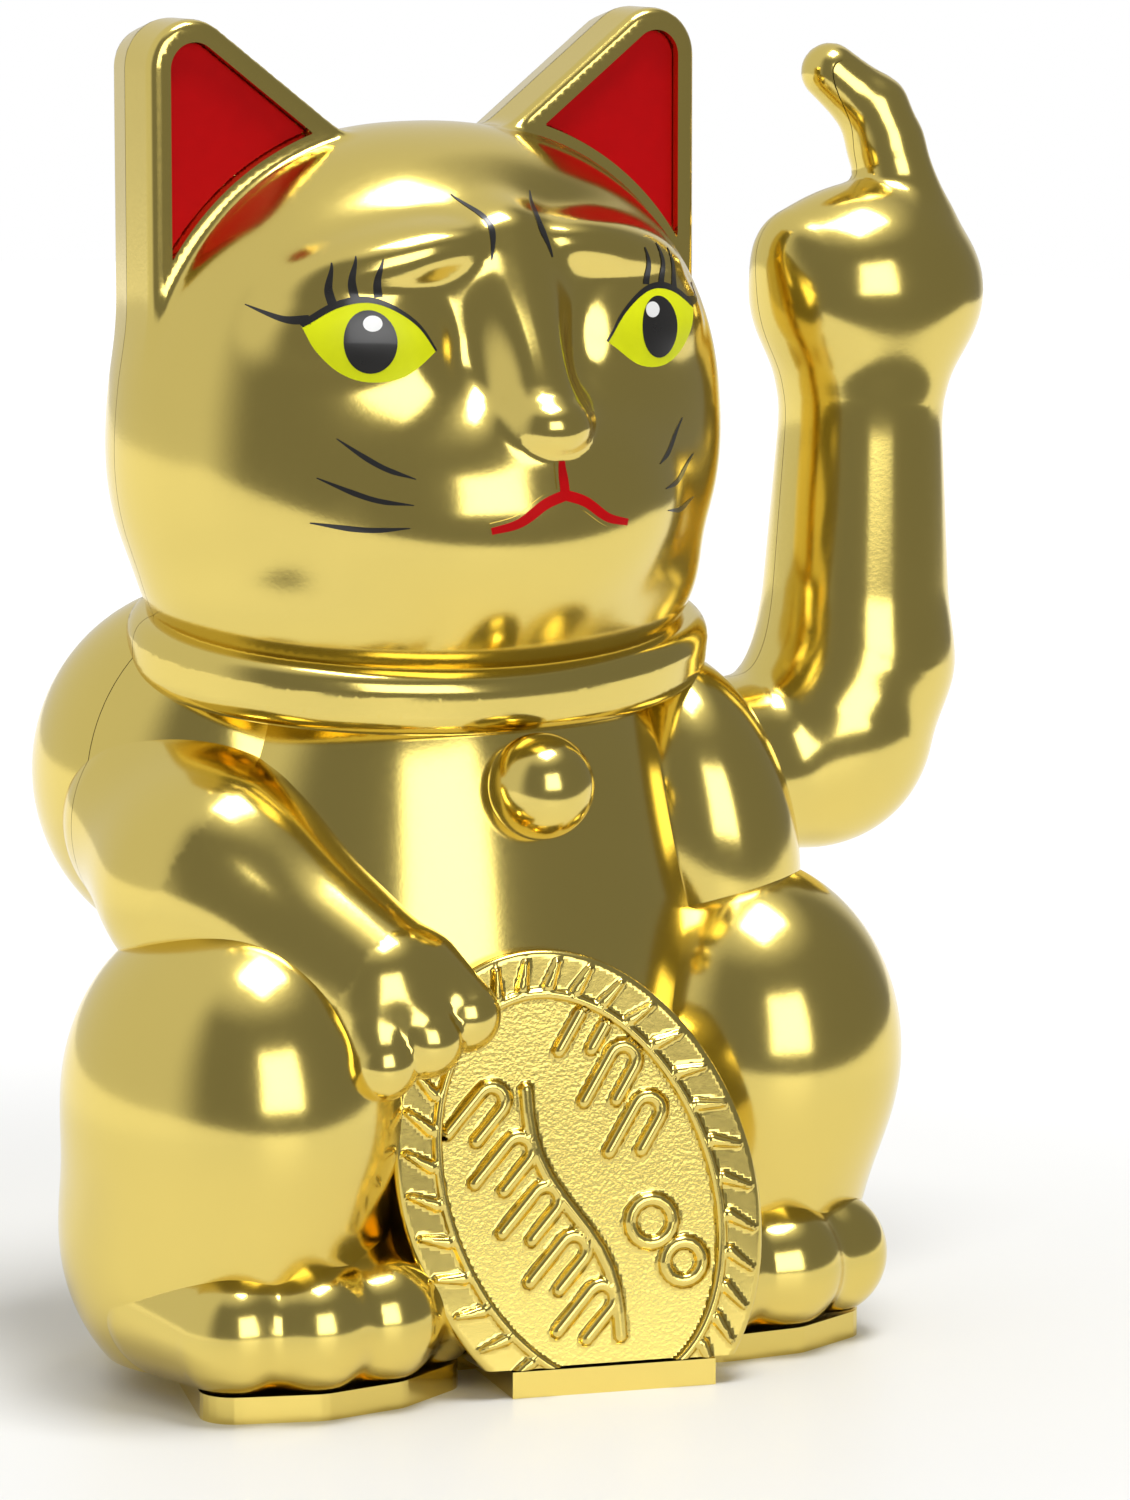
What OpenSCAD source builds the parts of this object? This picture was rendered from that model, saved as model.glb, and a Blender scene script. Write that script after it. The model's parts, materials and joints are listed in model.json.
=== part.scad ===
// Waving cat figurine: a hollow two-part body on a base plate, with a battery-driven
// pendulum movement inside that swings the raised arm.
// X runs across the cat (+X is its left), the cat faces -Y, and the base rests on z = 0.
// The body halves meet at y = 0.

/* [Figure] */
// Height over the tips of the ears
figure_h = 152; // [152:1:190]
// Width of the body across the haunches
body_w = 91; // [90:1:115]
// Depth of the body from the coin to the back
body_d = 73; // [72:1:92]
// Width of the head across the cheeks
head_w = 77; // [66:1:92]
// Wall thickness of the body shells
wall = 2; // [1.6:0.1:2.4]

/* [Coin] */
// Long diameter of the coin
coin_h = 56; // [48:1:62]
// Short diameter of the coin
coin_w = 40.5; // [36:0.5:46]
// Height of the raised rim and strokes above the coin's face
relief = 0.8; // [0.4:0.1:1.2]

/* [Waving arm] */
// Diameter of the upper arm where it enters the shoulder
upper_arm_d = 21; // [17.5:0.1:22]
// Width of the forearm above the elbow
forearm_w = 23.6; // [19.6:0.1:25]
// Width of the wrist
wrist_w = 19; // [15.8:0.1:22]
// Height of the fist
fist_h = 25; // [20:0.5:30]
// Length of the raised finger above the fist
finger_l = 21; // [14:1:26]
// Wall thickness of the arm shells
arm_wall = 1.2; // [1:0.1:1.6]

/* [Movement] */
// Diameter of the steel axle
axle_d = 3; // [2:0.1:4]
// Radius that the pendulum sweeps below the axle
swing_r = 29; // [24:0.5:29]
// Width of the counterweight along the axle
weight_w = 17; // [12:0.5:18]
// Outer diameter of the coil
coil_d = 18; // [12:0.5:19]
// Diameter of the drive magnet
magnet_d = 10; // [6:0.5:12]

/* [Base and battery] */
// Thickness of the base plate
base_t = 3; // [2.6:0.1:4]
// Diameter of the battery cell
cell_d = 14.5; // [10.5:0.1:15]
// Length of the battery cell with its nub
cell_l = 50.5; // [44.5:0.1:51]
// Travel of the on/off slider
switch_travel = 2.5; // [1.5:0.1:3.5]

/* [Hidden] */

// The form is drawn at 91 x 73 x 152 and stretched to the chosen sizes
kx = body_w / 91;
ky = body_d / 73;
kz = figure_h / 152;
kh = head_w / 77;
eps = 0.01;
big = 400;
form_fn = 24;
small_fn = 14;
round_fn = 48;

gold = [0.85, 0.72, 0.35];
run_gap = 0.05;

// Arm hinge
axis_z = 62 * kz;
socket_gap = 0.8;
socket_r = upper_arm_d / 2 + socket_gap;
socket_floor = 38.5 * kx;
socket_cup = 1.8;
hub_r = 4.7;
arm_x = 60 * kx;
arm_root = socket_floor + 0.7;
hub_x0 = 27 * kx;
hub_x1 = arm_x - 3;

// Base
shell_z = base_t + 0.3;
door_t = 1.6;
door_z = 0.2;
door_gap = 0.3;
bay_wall = 1.6;
bay_y = -12.3;
bay_w = cell_d + 1.7;
bay_l = cell_l + 5.1;
cell_z = door_z + door_t + 0.8 + cell_d / 2;
bay_top = cell_z + cell_d / 2 + 1.9 + bay_wall;
pivot_r = 0.8;
pivot_y = bay_y - bay_w / 2 + 1.4;
pivot_z = door_z + 1;
pivot_l = 1.2;

// Movement
frame_x = 11;
frame_gap = 22;
frame_t = 3;
deck_t = 2;
board_t = 1.6;
coil_h = 7;
coil_gap = 1.7;
coil_top = axis_z - swing_r - coil_gap;
board_z = coil_top - coil_h - board_t;
deck_z = board_z - deck_t;
axle_r = axle_d / 2;
bush_r = axle_r + 1.5;
flange_t = 0.6;
weight_h = 10;
weight_d = 18;
weight_trim = 0.23;
magnet_t = 2.4;
web_x = 6;
web_y = 7;
post_r = 2.8;
post_dx = 8.8;
post_at = [for (side = [-1, 1], y = [-1, 14]) [frame_x + side * post_dx, y]];
post_screw_r = 1;
post_screw_l = 8;

// Screws that hold the base: the first two enter the front shell, the others the back shell
base_screw_at = [[-33.4 * kx, -14 * ky], [33.4 * kx, -14 * ky], [-30 * kx, 11.5 * ky], [30 * kx, 11.5 * ky]];
screw_r = 1.5;
screw_l = 10;
head_r = 2.8;
boss_r = 3.6;
boss_h = 14;

// Switch
switch_at = [-19, 13];
switch_size = [13, 6.4, 5.5];
knob = [4, 2.4];
knob_z = 0.6;

function at(x, y, z) = [x * kx, y * ky, z * kz];
function head_at(x, y, z) = [x * kh, y * ky, z * kz];
function ellipse_points(a, b, n = 40) = [for (i = [0 : n - 1]) [a * cos(360 * i / n), b * sin(360 * i / n)]];

module ball(r, place) {
    translate(place) sphere(r, $fn = small_fn);
}

// Ellipsoid with the given full size, shrunk on every side by inset
module blob(size, place, inset = 0, turn = [0, 0, 0]) {
    half = size / 2 - [inset, inset, inset];
    translate(place) rotate(turn) hull() scale(half) sphere(1, $fn = form_fn);
}

// Flat ellipse at the bottom edge of the shells; the cavity runs through it
module foot_disc(a, b, place, inset) {
    drop = inset > 0 ? 2 * base_t : 0;
    translate([place[0], place[1], shell_z - drop]) {
        linear_extrude(0.5) polygon(ellipse_points(a - inset, b - inset, 24));
    }
}

module torso(inset) {
    hull() {
        blob(at(66, 55, 80), at(0, -3, 52), inset);
        blob(at(72, 58, 68), at(0, -4, 34), inset);
    }
}

module rump(inset) {
    hull() {
        blob(at(90.4, 57, 92), at(0, 0, 34), inset);
        foot_disc(38.5 * kx, 25 * ky, [0, 0], inset);
    }
}

module shoulders(inset) {
    for (side = [-1, 1]) blob(at(43, 43, 43), at(side * 20.5, 6.5, 66), inset);
}

// The side of the chest bulges below the raised arm only
module flank(inset) {
    blob(at(27, 38, 48), at(30, -9, 55), inset);
}

module haunches(inset) {
    for (side = [-1, 1]) {
        hull() {
            blob(at(37, 42, 44), at(side * 33, -19, 33), inset);
            blob(at(36, 40, 40), at(side * 31.5, -14, 17), inset);
            foot_disc(13 * kx, 13 * ky, [side * 25 * kx, -16 * ky], inset);
        }
    }
}

toes = [[14, -28], [22, -32], [30.5, -32.6], [38.5, -29.5]];
toe_r = 7.4;
toe_z = 6;

module foot(side, inset) {
    r = toe_r - inset;
    hull() {
        for (toe = toes) {
            ball(r, [side * toe[0] * kx, toe[1] * ky, shell_z + toe_z - inset]);
            ball(r, [side * (toe[0] + 2) * kx, (toe[1] + 12) * ky, shell_z + toe_z + 3 - inset]);
        }
        if (inset > 0) foot_disc(12 * kx, 8 * ky, [side * 25 * kx, -20 * ky], inset);
    }
}

module neck(inset) {
    translate(at(0, -3.5, 80.5)) rotate([10, 0, 0]) hull() {
        for (i = [0 : 15]) {
            ball(3.8 - inset / 2, [31.6 * kx * cos(22.5 * i), 21.8 * ky * sin(22.5 * i), 0]);
        }
    }
}

module head(inset) {
    hull() {
        blob(head_at(71, 50.8, 65.2), head_at(0, -3, 107), inset);
        blob(head_at(77, 45, 46), head_at(0, -3, 104), inset);
        blob(head_at(60, 42, 56), head_at(0, -3, 108), inset);
        blob(head_at(67, 49, 36), head_at(0, -4.5, 89), inset);
    }
}

module muzzle() {
    blob(head_at(47, 38, 32), head_at(0, -17, 97.5));
    blob(head_at(10, 10.4, 7.8), head_at(0, -31.2, 107.6));
    hull() {
        ball(2.8, head_at(0, -22.5, 125));
        ball(4, head_at(0, -29.8, 110));
    }
}

// Flat triangular ears with round corners
ear_r = 5.5;
ear_front = -6.3;
ear_t = 10.8;

module ears() {
    for (side = [-1, 1]) {
        hull() {
            for (corner = [[29.9, 146.3], [12, 132.8], [29.9, 112]]) {
                translate([side * corner[0] * kh, ear_front * ky, corner[1] * kz]) rotate([-90, 0, 0]) {
                    cylinder(ear_t * ky, r = ear_r, $fn = form_fn);
                }
            }
        }
    }
}

module bell() {
    translate(at(0, -30.6, 67.1)) sphere(6, $fn = form_fn);
}

// The arm that lies across the lap, with its paw on the coin
module resting_arm(inset) {
    hull() {
        ball(13 - inset, at(-30, -1, 62));
        ball(12.5 - inset, at(-32, -14, 57));
    }
    hull() {
        ball(12.5 - inset, at(-32, -14, 57));
        ball(9 - inset, at(-21.5, -31, 46));
    }
}

module paw() {
    for (i = [-1, 0, 1]) {
        hull() {
            ball(5, at(-20.5 + 3.6 * i, -33, 46 + 1.5 * i));
            ball(4.2, at(-19 + 5.2 * i, i == 0 ? -37.8 : -37, 41.4 + 2.2 * i));
        }
    }
}

// Coin plane: its face looks along local +Z, local Y runs up the coin
coin_turn = 14;
coin_lean = 5;
coin_tilt = 20;
coin_mid = 22.8 * kz;

module coin_frame() {
    translate(at(3, -41.8, 0)) rotate([90 - coin_lean, 0, -coin_turn]) translate([-3, 0, 0]) children();
}

module coin_outline(inset) {
    intersection() {
        translate([-0.5, coin_mid]) rotate(coin_tilt) {
            polygon(ellipse_points(coin_w / 2 - inset, coin_h / 2 - inset));
        }
        translate([-big / 2, inset > 0 ? -big / 2 : 0]) square(big);
    }
}

// The coin is a deep lump that joins the belly; its cavity opens into the body
module coin_lump(inset) {
    depth = 15 * ky;
    coin_frame() translate([0, 0, -depth - inset]) linear_extrude(depth + eps) coin_outline(inset);
}

// Raised rim, border notches and hooked strokes on the coin's face
module coin_relief() {
    rim_in = 4.2;
    stroke = 1.1;
    notch_n = 26;
    coin_frame() {
        linear_extrude(relief) {
            difference() {
                coin_outline(rim_in);
                coin_outline(rim_in + 1.1);
            }
            intersection() {
                coin_outline(rim_in + 1.6);
                translate([-0.5, coin_mid]) rotate(coin_tilt) for (row = [-1.5 : 1.5], side = [-1, 1]) {
                    translate([5.5 * side, 9.5 * row]) difference() {
                        circle(4, $fn = 20);
                        circle(4 - stroke, $fn = 20);
                        translate([-big / 2, 1]) square(big);
                    }
                }
            }
        }
        translate([-0.5, coin_mid, 0]) rotate(coin_tilt) for (i = [0 : notch_n - 1]) {
            turn = 360 * i / notch_n;
            along = [(coin_w / 2 - 2.1) * cos(turn), (coin_h / 2 - 2.1) * sin(turn)];
            if (abs(along[0]) > 6 || along[1] > 0) translate(along) rotate(turn) {
                translate([-1.3, -0.35, 0]) cube([2.6, 0.7, relief / 2]);
            }
        }
    }
}

module outer_form() {
    torso(0);
    rump(0);
    shoulders(0);
    flank(0);
    haunches(0);
    foot(-1, 0);
    foot(1, 0);
    neck(0);
    head(0);
    muzzle();
    ears();
    bell();
    resting_arm(0);
    paw();
    coin_lump(0);
    coin_relief();
}

module cavity() {
    torso(wall);
    rump(wall);
    shoulders(wall);
    flank(wall);
    haunches(wall);
    foot(-1, wall);
    foot(1, wall);
    head(wall);
    resting_arm(wall);
    coin_lump(wall);
    belly_void();
}

// Space behind the coin, where the hollows of the thigh, arm and coin leave a sliver
module belly_void() {
    translate([1 * kx, -27.6 * ky, 0]) cube([18.4 * kx, 5.8 * ky, 25.8 * kz]);
}

module along_x(x0, x1, r, n = round_fn) {
    translate([x0, 0, axis_z]) rotate([0, 90, 0]) cylinder(x1 - x0, r = r, $fn = n);
}

// Cup in the shoulder that the upper arm turns in
module arm_cup() {
    along_x(socket_floor - socket_cup, socket_floor + 1.5, socket_r + socket_cup, 32);
}

module arm_socket_cut() {
    along_x(socket_floor, big, socket_r, 32);
    along_x(socket_floor - 2 * socket_cup, big, hub_r + 0.5, 24);
}

// Boss with a web that ties it to the side wall
module screw_boss(spot) {
    hull() {
        translate([spot[0], spot[1], shell_z]) cylinder(boss_h, r = boss_r, $fn = 16);
        translate([spot[0] * 1.5, spot[1] * 1.1, shell_z]) cylinder(boss_h, r = 1, $fn = 16);
    }
}

module boss_hole(spot) {
    translate([spot[0], spot[1], 0]) cylinder(shell_z + screw_l, r = screw_r + run_gap, $fn = 16);
}

// Cuts the form off just above the base plate
module underside_cut() {
    translate([-big / 2, -big / 2, shell_z - big]) cube(big);
}

module shell_form(spots) {
    difference() {
        union() {
            difference() {
                outer_form();
                cavity();
            }
            arm_cup();
            intersection() {
                outer_form_low();
                union() for (spot = spots) screw_boss(spot);
            }
        }
        arm_socket_cut();
        for (spot = spots) boss_hole(spot);
        underside_cut();
    }
}

module outer_form_low() {
    rump(0.5);
    haunches(0.5);
}

module front_shell() {
    color(gold) difference() {
        shell_form([base_screw_at[0], base_screw_at[1]]);
        translate([-big / 2, 0, -big / 2]) cube(big);
    }
}

module back_shell() {
    color(gold) difference() {
        shell_form([base_screw_at[2], base_screw_at[3]]);
        translate([-big / 2, -big, -big / 2]) cube(big);
    }
}

// Outline of the base plate: the rump, both feet and the foot of the coin
coin_foot_w = 24.5;
coin_foot_d = 18;

module footprint(inset) {
    polygon(ellipse_points(38 * kx - inset, 24.5 * ky - inset, 64));
    for (side = [-1, 1]) {
        hull() {
            for (toe = toes) translate([side * toe[0] * kx, toe[1] * ky]) circle(4.4 - inset, $fn = 24);
            translate([side * 25 * kx, -16 * ky]) circle(12.5 * kx - inset, $fn = round_fn);
        }
    }
    translate([3 * kx, -41.8 * ky]) rotate(-coin_turn) {
        translate([inset - coin_foot_w / 2, inset]) square([coin_foot_w - 2 * inset, coin_foot_d]);
    }
}

module base_plate() {
    color(gold) difference() {
        union() {
            linear_extrude(base_t) footprint(0.4);
            translate([-bay_l / 2 - bay_wall, bay_y - bay_w / 2 - bay_wall, 0]) {
                cube([bay_l + 2 * bay_wall, bay_w + 2 * bay_wall, bay_top]);
            }
            for (spot = post_at) translate([spot[0], spot[1], 0]) cylinder(deck_z, r = post_r, $fn = round_fn);
        }
        translate([-bay_l / 2, bay_y - bay_w / 2, -eps]) cube([bay_l, bay_w, bay_top - bay_wall]);
        translate([-bay_l / 2 - pivot_l, pivot_y, pivot_z]) rotate([0, 90, 0]) {
            cylinder(bay_l + 2 * pivot_l, r = pivot_r + run_gap, $fn = round_fn);
        }
        for (spot = base_screw_at) translate([spot[0], spot[1], -eps]) {
            cylinder(base_t + 1, r = screw_r + 0.2, $fn = round_fn);
            cylinder(base_t - 1, r = head_r + 0.3, $fn = round_fn);
        }
        for (spot = post_at) translate([spot[0], spot[1], deck_z - post_screw_l]) {
            cylinder(post_screw_l + 1, r = post_screw_r + run_gap, $fn = round_fn);
        }
        translate([switch_at[0] - knob[0] / 2 - 0.2, switch_at[1] - knob[1] / 2 - 0.2, -eps]) {
            cube([knob[0] + switch_travel + 0.4, knob[1] + 0.4, base_t + 1]);
        }
    }
}

module battery_door() {
    y0 = pivot_y;
    y1 = bay_y + bay_w / 2 - door_gap;
    half_l = bay_l / 2 - door_gap;
    color(gold) {
        translate([-half_l, y0, door_z]) cube([2 * half_l, y1 - y0, door_t]);
        translate([-half_l, y0, pivot_z]) rotate([0, 90, 0]) cylinder(2 * half_l, r = 1, $fn = round_fn);
        translate([-half_l - pivot_l, y0, pivot_z]) rotate([0, 90, 0]) {
            cylinder(2 * (half_l + pivot_l), r = pivot_r, $fn = round_fn);
        }
    }
}

nub_l = 1.3;
cell_x1 = bay_l / 2 - 0.6;
cell_x0 = cell_x1 - cell_l;

module battery_cell() {
    color("dimgray") translate([cell_x0, bay_y, cell_z]) rotate([0, 90, 0]) {
        cylinder(cell_l - nub_l, r = cell_d / 2, $fn = round_fn);
        cylinder(cell_l, r = 2.75, $fn = round_fn);
    }
}

// A round wire along a list of points
module wire(points, r) {
    for (i = [0 : len(points) - 2]) {
        hull() {
            translate(points[i]) sphere(r, $fn = 8);
            translate(points[i + 1]) sphere(r, $fn = 8);
        }
    }
}

// Coil spring that narrows towards the cell, on a flat contact
spring_turns = 3.5;
spring_wire = 0.45;
spring_steps = 30;
spring_x0 = 0.5 - bay_l / 2;
spring_len = cell_x0 - spring_x0 - spring_wire - 0.05;

function spring_point(t) = [
    spring_x0 + spring_len * t,
    bay_y + (5 - 2 * t) * cos(360 * spring_turns * t),
    cell_z + (5 - 2 * t) * sin(360 * spring_turns * t)
];

module contact_spring() {
    color("silver") {
        wire([for (i = [0 : spring_steps]) spring_point(i / spring_steps)], spring_wire);
        translate([-bay_l / 2, bay_y - 6, cell_z - 6]) cube([0.5, 12, 12]);
    }
}

module contact_plate() {
    color("silver") translate([bay_l / 2 - 0.5, bay_y - 5, cell_z - 6]) {
        cube([0.5, 10, 12]);
    }
}

module switch_body() {
    color("black") difference() {
        translate([switch_at[0] - 5, switch_at[1] - switch_size[1] / 2, base_t]) cube(switch_size);
        translate([switch_at[0] - knob[0] / 2 - 0.3, switch_at[1] - knob[1] / 2 - 0.3, base_t - eps]) {
            cube([knob[0] + switch_travel + 0.6, knob[1] + 0.6, 3]);
        }
    }
}

module switch_slider() {
    color("white") translate([switch_at[0] - knob[0] / 2, switch_at[1] - knob[1] / 2, knob_z]) {
        cube([knob[0], knob[1], base_t + 2.6 - knob_z]);
    }
}

module movement_frame() {
    x0 = frame_x - frame_gap / 2 - frame_t;
    width = frame_gap + 2 * frame_t;
    color("ivory") difference() {
        union() {
            translate([x0, -15, deck_z]) cube([width, 33, deck_t]);
            for (x = [x0, frame_x + frame_gap / 2]) {
                translate([x, -6, deck_z]) cube([frame_t, 12, axis_z - deck_z]);
                along_x(x, x + frame_t, 6);
            }
        }
        along_x(x0 - 1, x0 + width + 1, bush_r + 0.02);
        for (spot = post_at) translate([spot[0], spot[1], deck_z - 1]) {
            cylinder(deck_t + 2, r = post_screw_r + 0.15, $fn = round_fn);
        }
    }
}

module bearing_bushes() {
    x_in = frame_x - frame_gap / 2;
    x_out = frame_x + frame_gap / 2;
    color("goldenrod") {
        difference() {
            union() {
                along_x(x_in - frame_t, x_in, bush_r);
                along_x(x_in - frame_t - flange_t, x_in - frame_t, bush_r + 1);
            }
            along_x(x_in - 10, x_in + 10, axle_r + run_gap);
        }
        difference() {
            union() {
                along_x(x_out, x_out + frame_t, bush_r);
                along_x(x_out + frame_t, x_out + frame_t + flange_t, bush_r + 1);
            }
            along_x(x_out - 10, x_out + 10, axle_r + run_gap);
        }
    }
}

clip_x = frame_x - frame_gap / 2 - frame_t - flange_t - 0.8;

module axle() {
    color("silver") difference() {
        along_x(clip_x - 1.5, hub_x1 - 9, axle_r);
        difference() {
            along_x(clip_x - 0.05, clip_x + 0.65, axle_r + 1);
            along_x(clip_x - 1, clip_x + 1, axle_r - 0.3);
        }
    }
}

module axle_clip() {
    color("dimgray") difference() {
        along_x(clip_x, clip_x + 0.6, axle_r + 1.6);
        along_x(clip_x - 1, clip_x + 1, axle_r - 0.25);
        translate([clip_x - 1, -0.8, axis_z]) cube([3, 1.6, 10]);
    }
}

weight_z1 = axis_z - swing_r + 3 + weight_h;
weight_z0 = axis_z - swing_r + 3;

module pendulum_lever() {
    color("white") difference() {
        union() {
            along_x(frame_x - 5, frame_x + 5, axle_r + 3);
            translate([frame_x - web_x / 2, -web_y / 2, weight_z0 - 1]) cube([web_x, web_y, axis_z - weight_z0]);
            translate([frame_x, 0, axis_z - swing_r]) cylinder(3, r = magnet_d / 2 + 1, $fn = round_fn);
        }
        along_x(frame_x - 8, frame_x + 8, axle_r);
        translate([frame_x, 0, axis_z - swing_r - eps]) cylinder(magnet_t + eps, r = magnet_d / 2 + 0.02, $fn = round_fn);
    }
}

module counterweight() {
    color("gray") difference() {
        intersection() {
            translate([frame_x - weight_w / 2, weight_trim - weight_d / 2, weight_z0]) cube([weight_w, weight_d, weight_h]);
            along_x(frame_x - weight_w, frame_x + weight_w, swing_r - 1.5);
        }
        translate([frame_x - web_x / 2 - run_gap, -web_y / 2 - run_gap, weight_z0 - 1]) {
            cube([web_x + 2 * run_gap, web_y + 2 * run_gap, weight_h + 2]);
        }
    }
}

module drive_magnet() {
    color("dimgray") translate([frame_x, 0, axis_z - swing_r]) cylinder(magnet_t, r = magnet_d / 2, $fn = round_fn);
}

bobbin_z = board_z + board_t;
bobbin_wall = 1;
core_r = 3;

module coil_bobbin() {
    color("ivory") translate([frame_x, 0, bobbin_z]) difference() {
        union() {
            cylinder(bobbin_wall, r = coil_d / 2, $fn = round_fn);
            cylinder(coil_h, r = core_r + bobbin_wall, $fn = round_fn);
            translate([0, 0, coil_h - bobbin_wall]) cylinder(bobbin_wall, r = coil_d / 2, $fn = round_fn);
        }
        translate([0, 0, -1]) cylinder(coil_h + 2, r = core_r, $fn = round_fn);
    }
}

module coil_winding() {
    color("chocolate") translate([frame_x, 0, bobbin_z + bobbin_wall]) difference() {
        cylinder(coil_h - 2 * bobbin_wall, r = coil_d / 2 - 0.6, $fn = round_fn);
        translate([0, 0, -1]) cylinder(coil_h + 2, r = core_r + bobbin_wall + 0.02, $fn = round_fn);
    }
}

board_w = 21;
board_d = 28.5;

module circuit_board() {
    color("darkgreen") difference() {
        translate([frame_x - board_w / 2, -14.5, board_z]) cube([board_w, board_d, board_t]);
        for (spot = post_at) translate([spot[0], spot[1], board_z - 1]) cylinder(4, r = 2.5, $fn = round_fn);
    }
}

// Capacitor, transistor and two resistors behind and in front of the coil
module board_components() {
    translate([frame_x - 2, 13, bobbin_z]) color("navy") cylinder(7, r = 2.5, $fn = round_fn);
    translate([frame_x + 2.5, 11, bobbin_z]) color("black") cube([4.4, 3.2, 4.5]);
    for (x = [-5, 1]) {
        translate([frame_x + x, -12, bobbin_z + 1.1]) rotate([0, 90, 0]) color("peru") cylinder(4, r = 1, $fn = round_fn);
    }
}

module frame_screws() {
    color("silver") for (spot = post_at) translate([spot[0], spot[1], deck_z + deck_t]) {
        cylinder(1.4, r = 2, $fn = round_fn);
        translate([0, 0, 0.5 - deck_t - post_screw_l]) cylinder(post_screw_l + deck_t, r = post_screw_r, $fn = round_fn);
    }
}

module base_screws() {
    color("silver") for (spot = base_screw_at) translate([spot[0], spot[1], base_t - 1]) difference() {
        union() {
            translate([0, 0, -1.62]) cylinder(1.6, r = head_r, $fn = round_fn);
            translate([0, 0, -0.5]) cylinder(screw_l, r = screw_r, $fn = round_fn);
        }
        for (turn = [0, 90]) rotate(turn) translate([-1.6, -0.35, -2.2]) cube([3.2, 0.7, 1.4]);
    }
}

// Outer form of the raised arm: upper arm, bent elbow, forearm, fist and one finger
module arm_form(inset) {
    fist_z = axis_z + 55.5 * kz;
    finger_z = fist_z + fist_h / 2 - 4;
    elbow = [arm_x + 1, -1, axis_z + 8];
    wrist = [arm_x + 1.5, -1.5, fist_z - 12.5];
    along_x(arm_root + inset, arm_x - 5, upper_arm_d / 2 - inset, 28);
    hull() {
        translate([arm_x - 5, 0, axis_z]) sphere(upper_arm_d / 2 - inset, $fn = 20);
        translate(elbow) sphere(forearm_w / 2 - inset, $fn = 20);
    }
    hull() {
        translate(elbow) sphere(forearm_w / 2 - inset, $fn = 20);
        translate(wrist) sphere(wrist_w / 2 - inset, $fn = 20);
    }
    hull() {
        translate(wrist) sphere(wrist_w / 2 - inset, $fn = 20);
        blob([29, 24, fist_h], [arm_x + 2.5, -1, fist_z], inset);
    }
    if (inset == 0) {
        ball(6.2, [arm_x - 6, -1, fist_z + 4]);
        hull() {
            ball(6.2, [arm_x + 7, -1.5, finger_z - 2]);
            ball(5.1, [arm_x + 3, 0.5, finger_z + finger_l * 0.5]);
        }
        hull() {
            ball(5.1, [arm_x + 3, 0.5, finger_z + finger_l * 0.5]);
            ball(3.6, [arm_x - 0.7, 3.5, finger_z + finger_l - 3.8]);
        }
    }
}

arm_screw_x = arm_x - 0.5;
arm_screw_z = axis_z + 1;
arm_screw_r = 1;
arm_screw_l = 9;

module arm_half(front) {
    difference() {
        union() {
            difference() {
                arm_form(0);
                arm_form(arm_wall);
            }
            intersection() {
                arm_form(0.3);
                union() {
                    along_x(arm_root, arm_root + 2.4, upper_arm_d / 2, 28);
                    along_x(hub_x1 - 7, hub_x1 - 5, upper_arm_d / 2, 28);
                    translate([arm_screw_x, -20, arm_screw_z]) rotate([-90, 0, 0]) cylinder(40, r = 2.6, $fn = 20);
                }
            }
        }
        along_x(arm_root - 5, hub_x1, hub_r + 0.03, 32);
        translate([arm_screw_x, -5, arm_screw_z]) rotate([-90, 0, 0]) cylinder(30, r = arm_screw_r + 0.05, $fn = 20);
        translate([arm_screw_x, 5, arm_screw_z]) rotate([-90, 0, 0]) cylinder(30, r = 2.1, $fn = 20);
        translate([-big / 2, front ? 0 : -big, -big / 2]) cube(big);
    }
}

module arm_front_shell() {
    color(gold) arm_half(true);
}

module arm_back_shell() {
    color(gold) arm_half(false);
}

// Sleeve pressed on the axle, which carries the arm halves
module arm_hub() {
    color("ivory") difference() {
        union() {
            along_x(hub_x0, hub_x1 - 1, hub_r);
            along_x(arm_root + 2.5, hub_x1 - 7.1, hub_r + 1.2);
        }
        along_x(hub_x0 - 1, hub_x1 - 8.9, axle_r);
    }
}

module arm_screw() {
    color("silver") translate([arm_screw_x, 5, arm_screw_z]) rotate([90, 0, 0]) {
        translate([0, 0, -1.2]) cylinder(1.2, r = 2, $fn = round_fn);
        translate([0, 0, -0.5]) cylinder(arm_screw_l, r = arm_screw_r, $fn = round_fn);
    }
}

// Insulated lead: a tube along a smooth curve through hand-laid points
lead_r = 0.7;
lead_steps = 5;

function pull(p, i) = p[max(0, min(len(p) - 1, i))];
function curve_point(p, i, t) = (
    2 * pull(p, i)
    + (pull(p, i + 1) - pull(p, i - 1)) * t
    + (2 * pull(p, i - 1) - 5 * pull(p, i) + 4 * pull(p, i + 1) - pull(p, i + 2)) * t * t
    + (3 * pull(p, i) - pull(p, i - 1) - 3 * pull(p, i + 1) + pull(p, i + 2)) * t * t * t
) / 2;
function curve(p) = concat(
    [for (i = [0 : len(p) - 2], k = [0 : lead_steps - 1]) curve_point(p, i, k / lead_steps)],
    [p[len(p) - 1]]
);

module lead(route) {
    wire(curve(route), lead_r);
}

lead_z = base_t + 4;

module lead_red() {
    color("red") lead([
        [bay_l / 2 + bay_wall + 1, bay_y + 3, cell_z + 4],
        [bay_l / 2 + bay_wall + 1.6, 0, lead_z + 2],
        [frame_x + post_dx + 4, 6.5, lead_z],
        [frame_x - 5, 7, lead_z],
        [switch_at[0] + 10, switch_at[1] + 1, lead_z]
    ]);
}

module lead_black() {
    color("black") lead([
        [-bay_l / 2 - bay_wall - 1, bay_y + 3, cell_z + 4],
        [-bay_l / 2 - bay_wall, 0, bay_top],
        [-14, 4, deck_z + 2],
        [-6, 6, board_z + 4],
        [frame_x - board_w / 2 - 1, 8.5, board_z + 0.8]
    ]);
}

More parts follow.
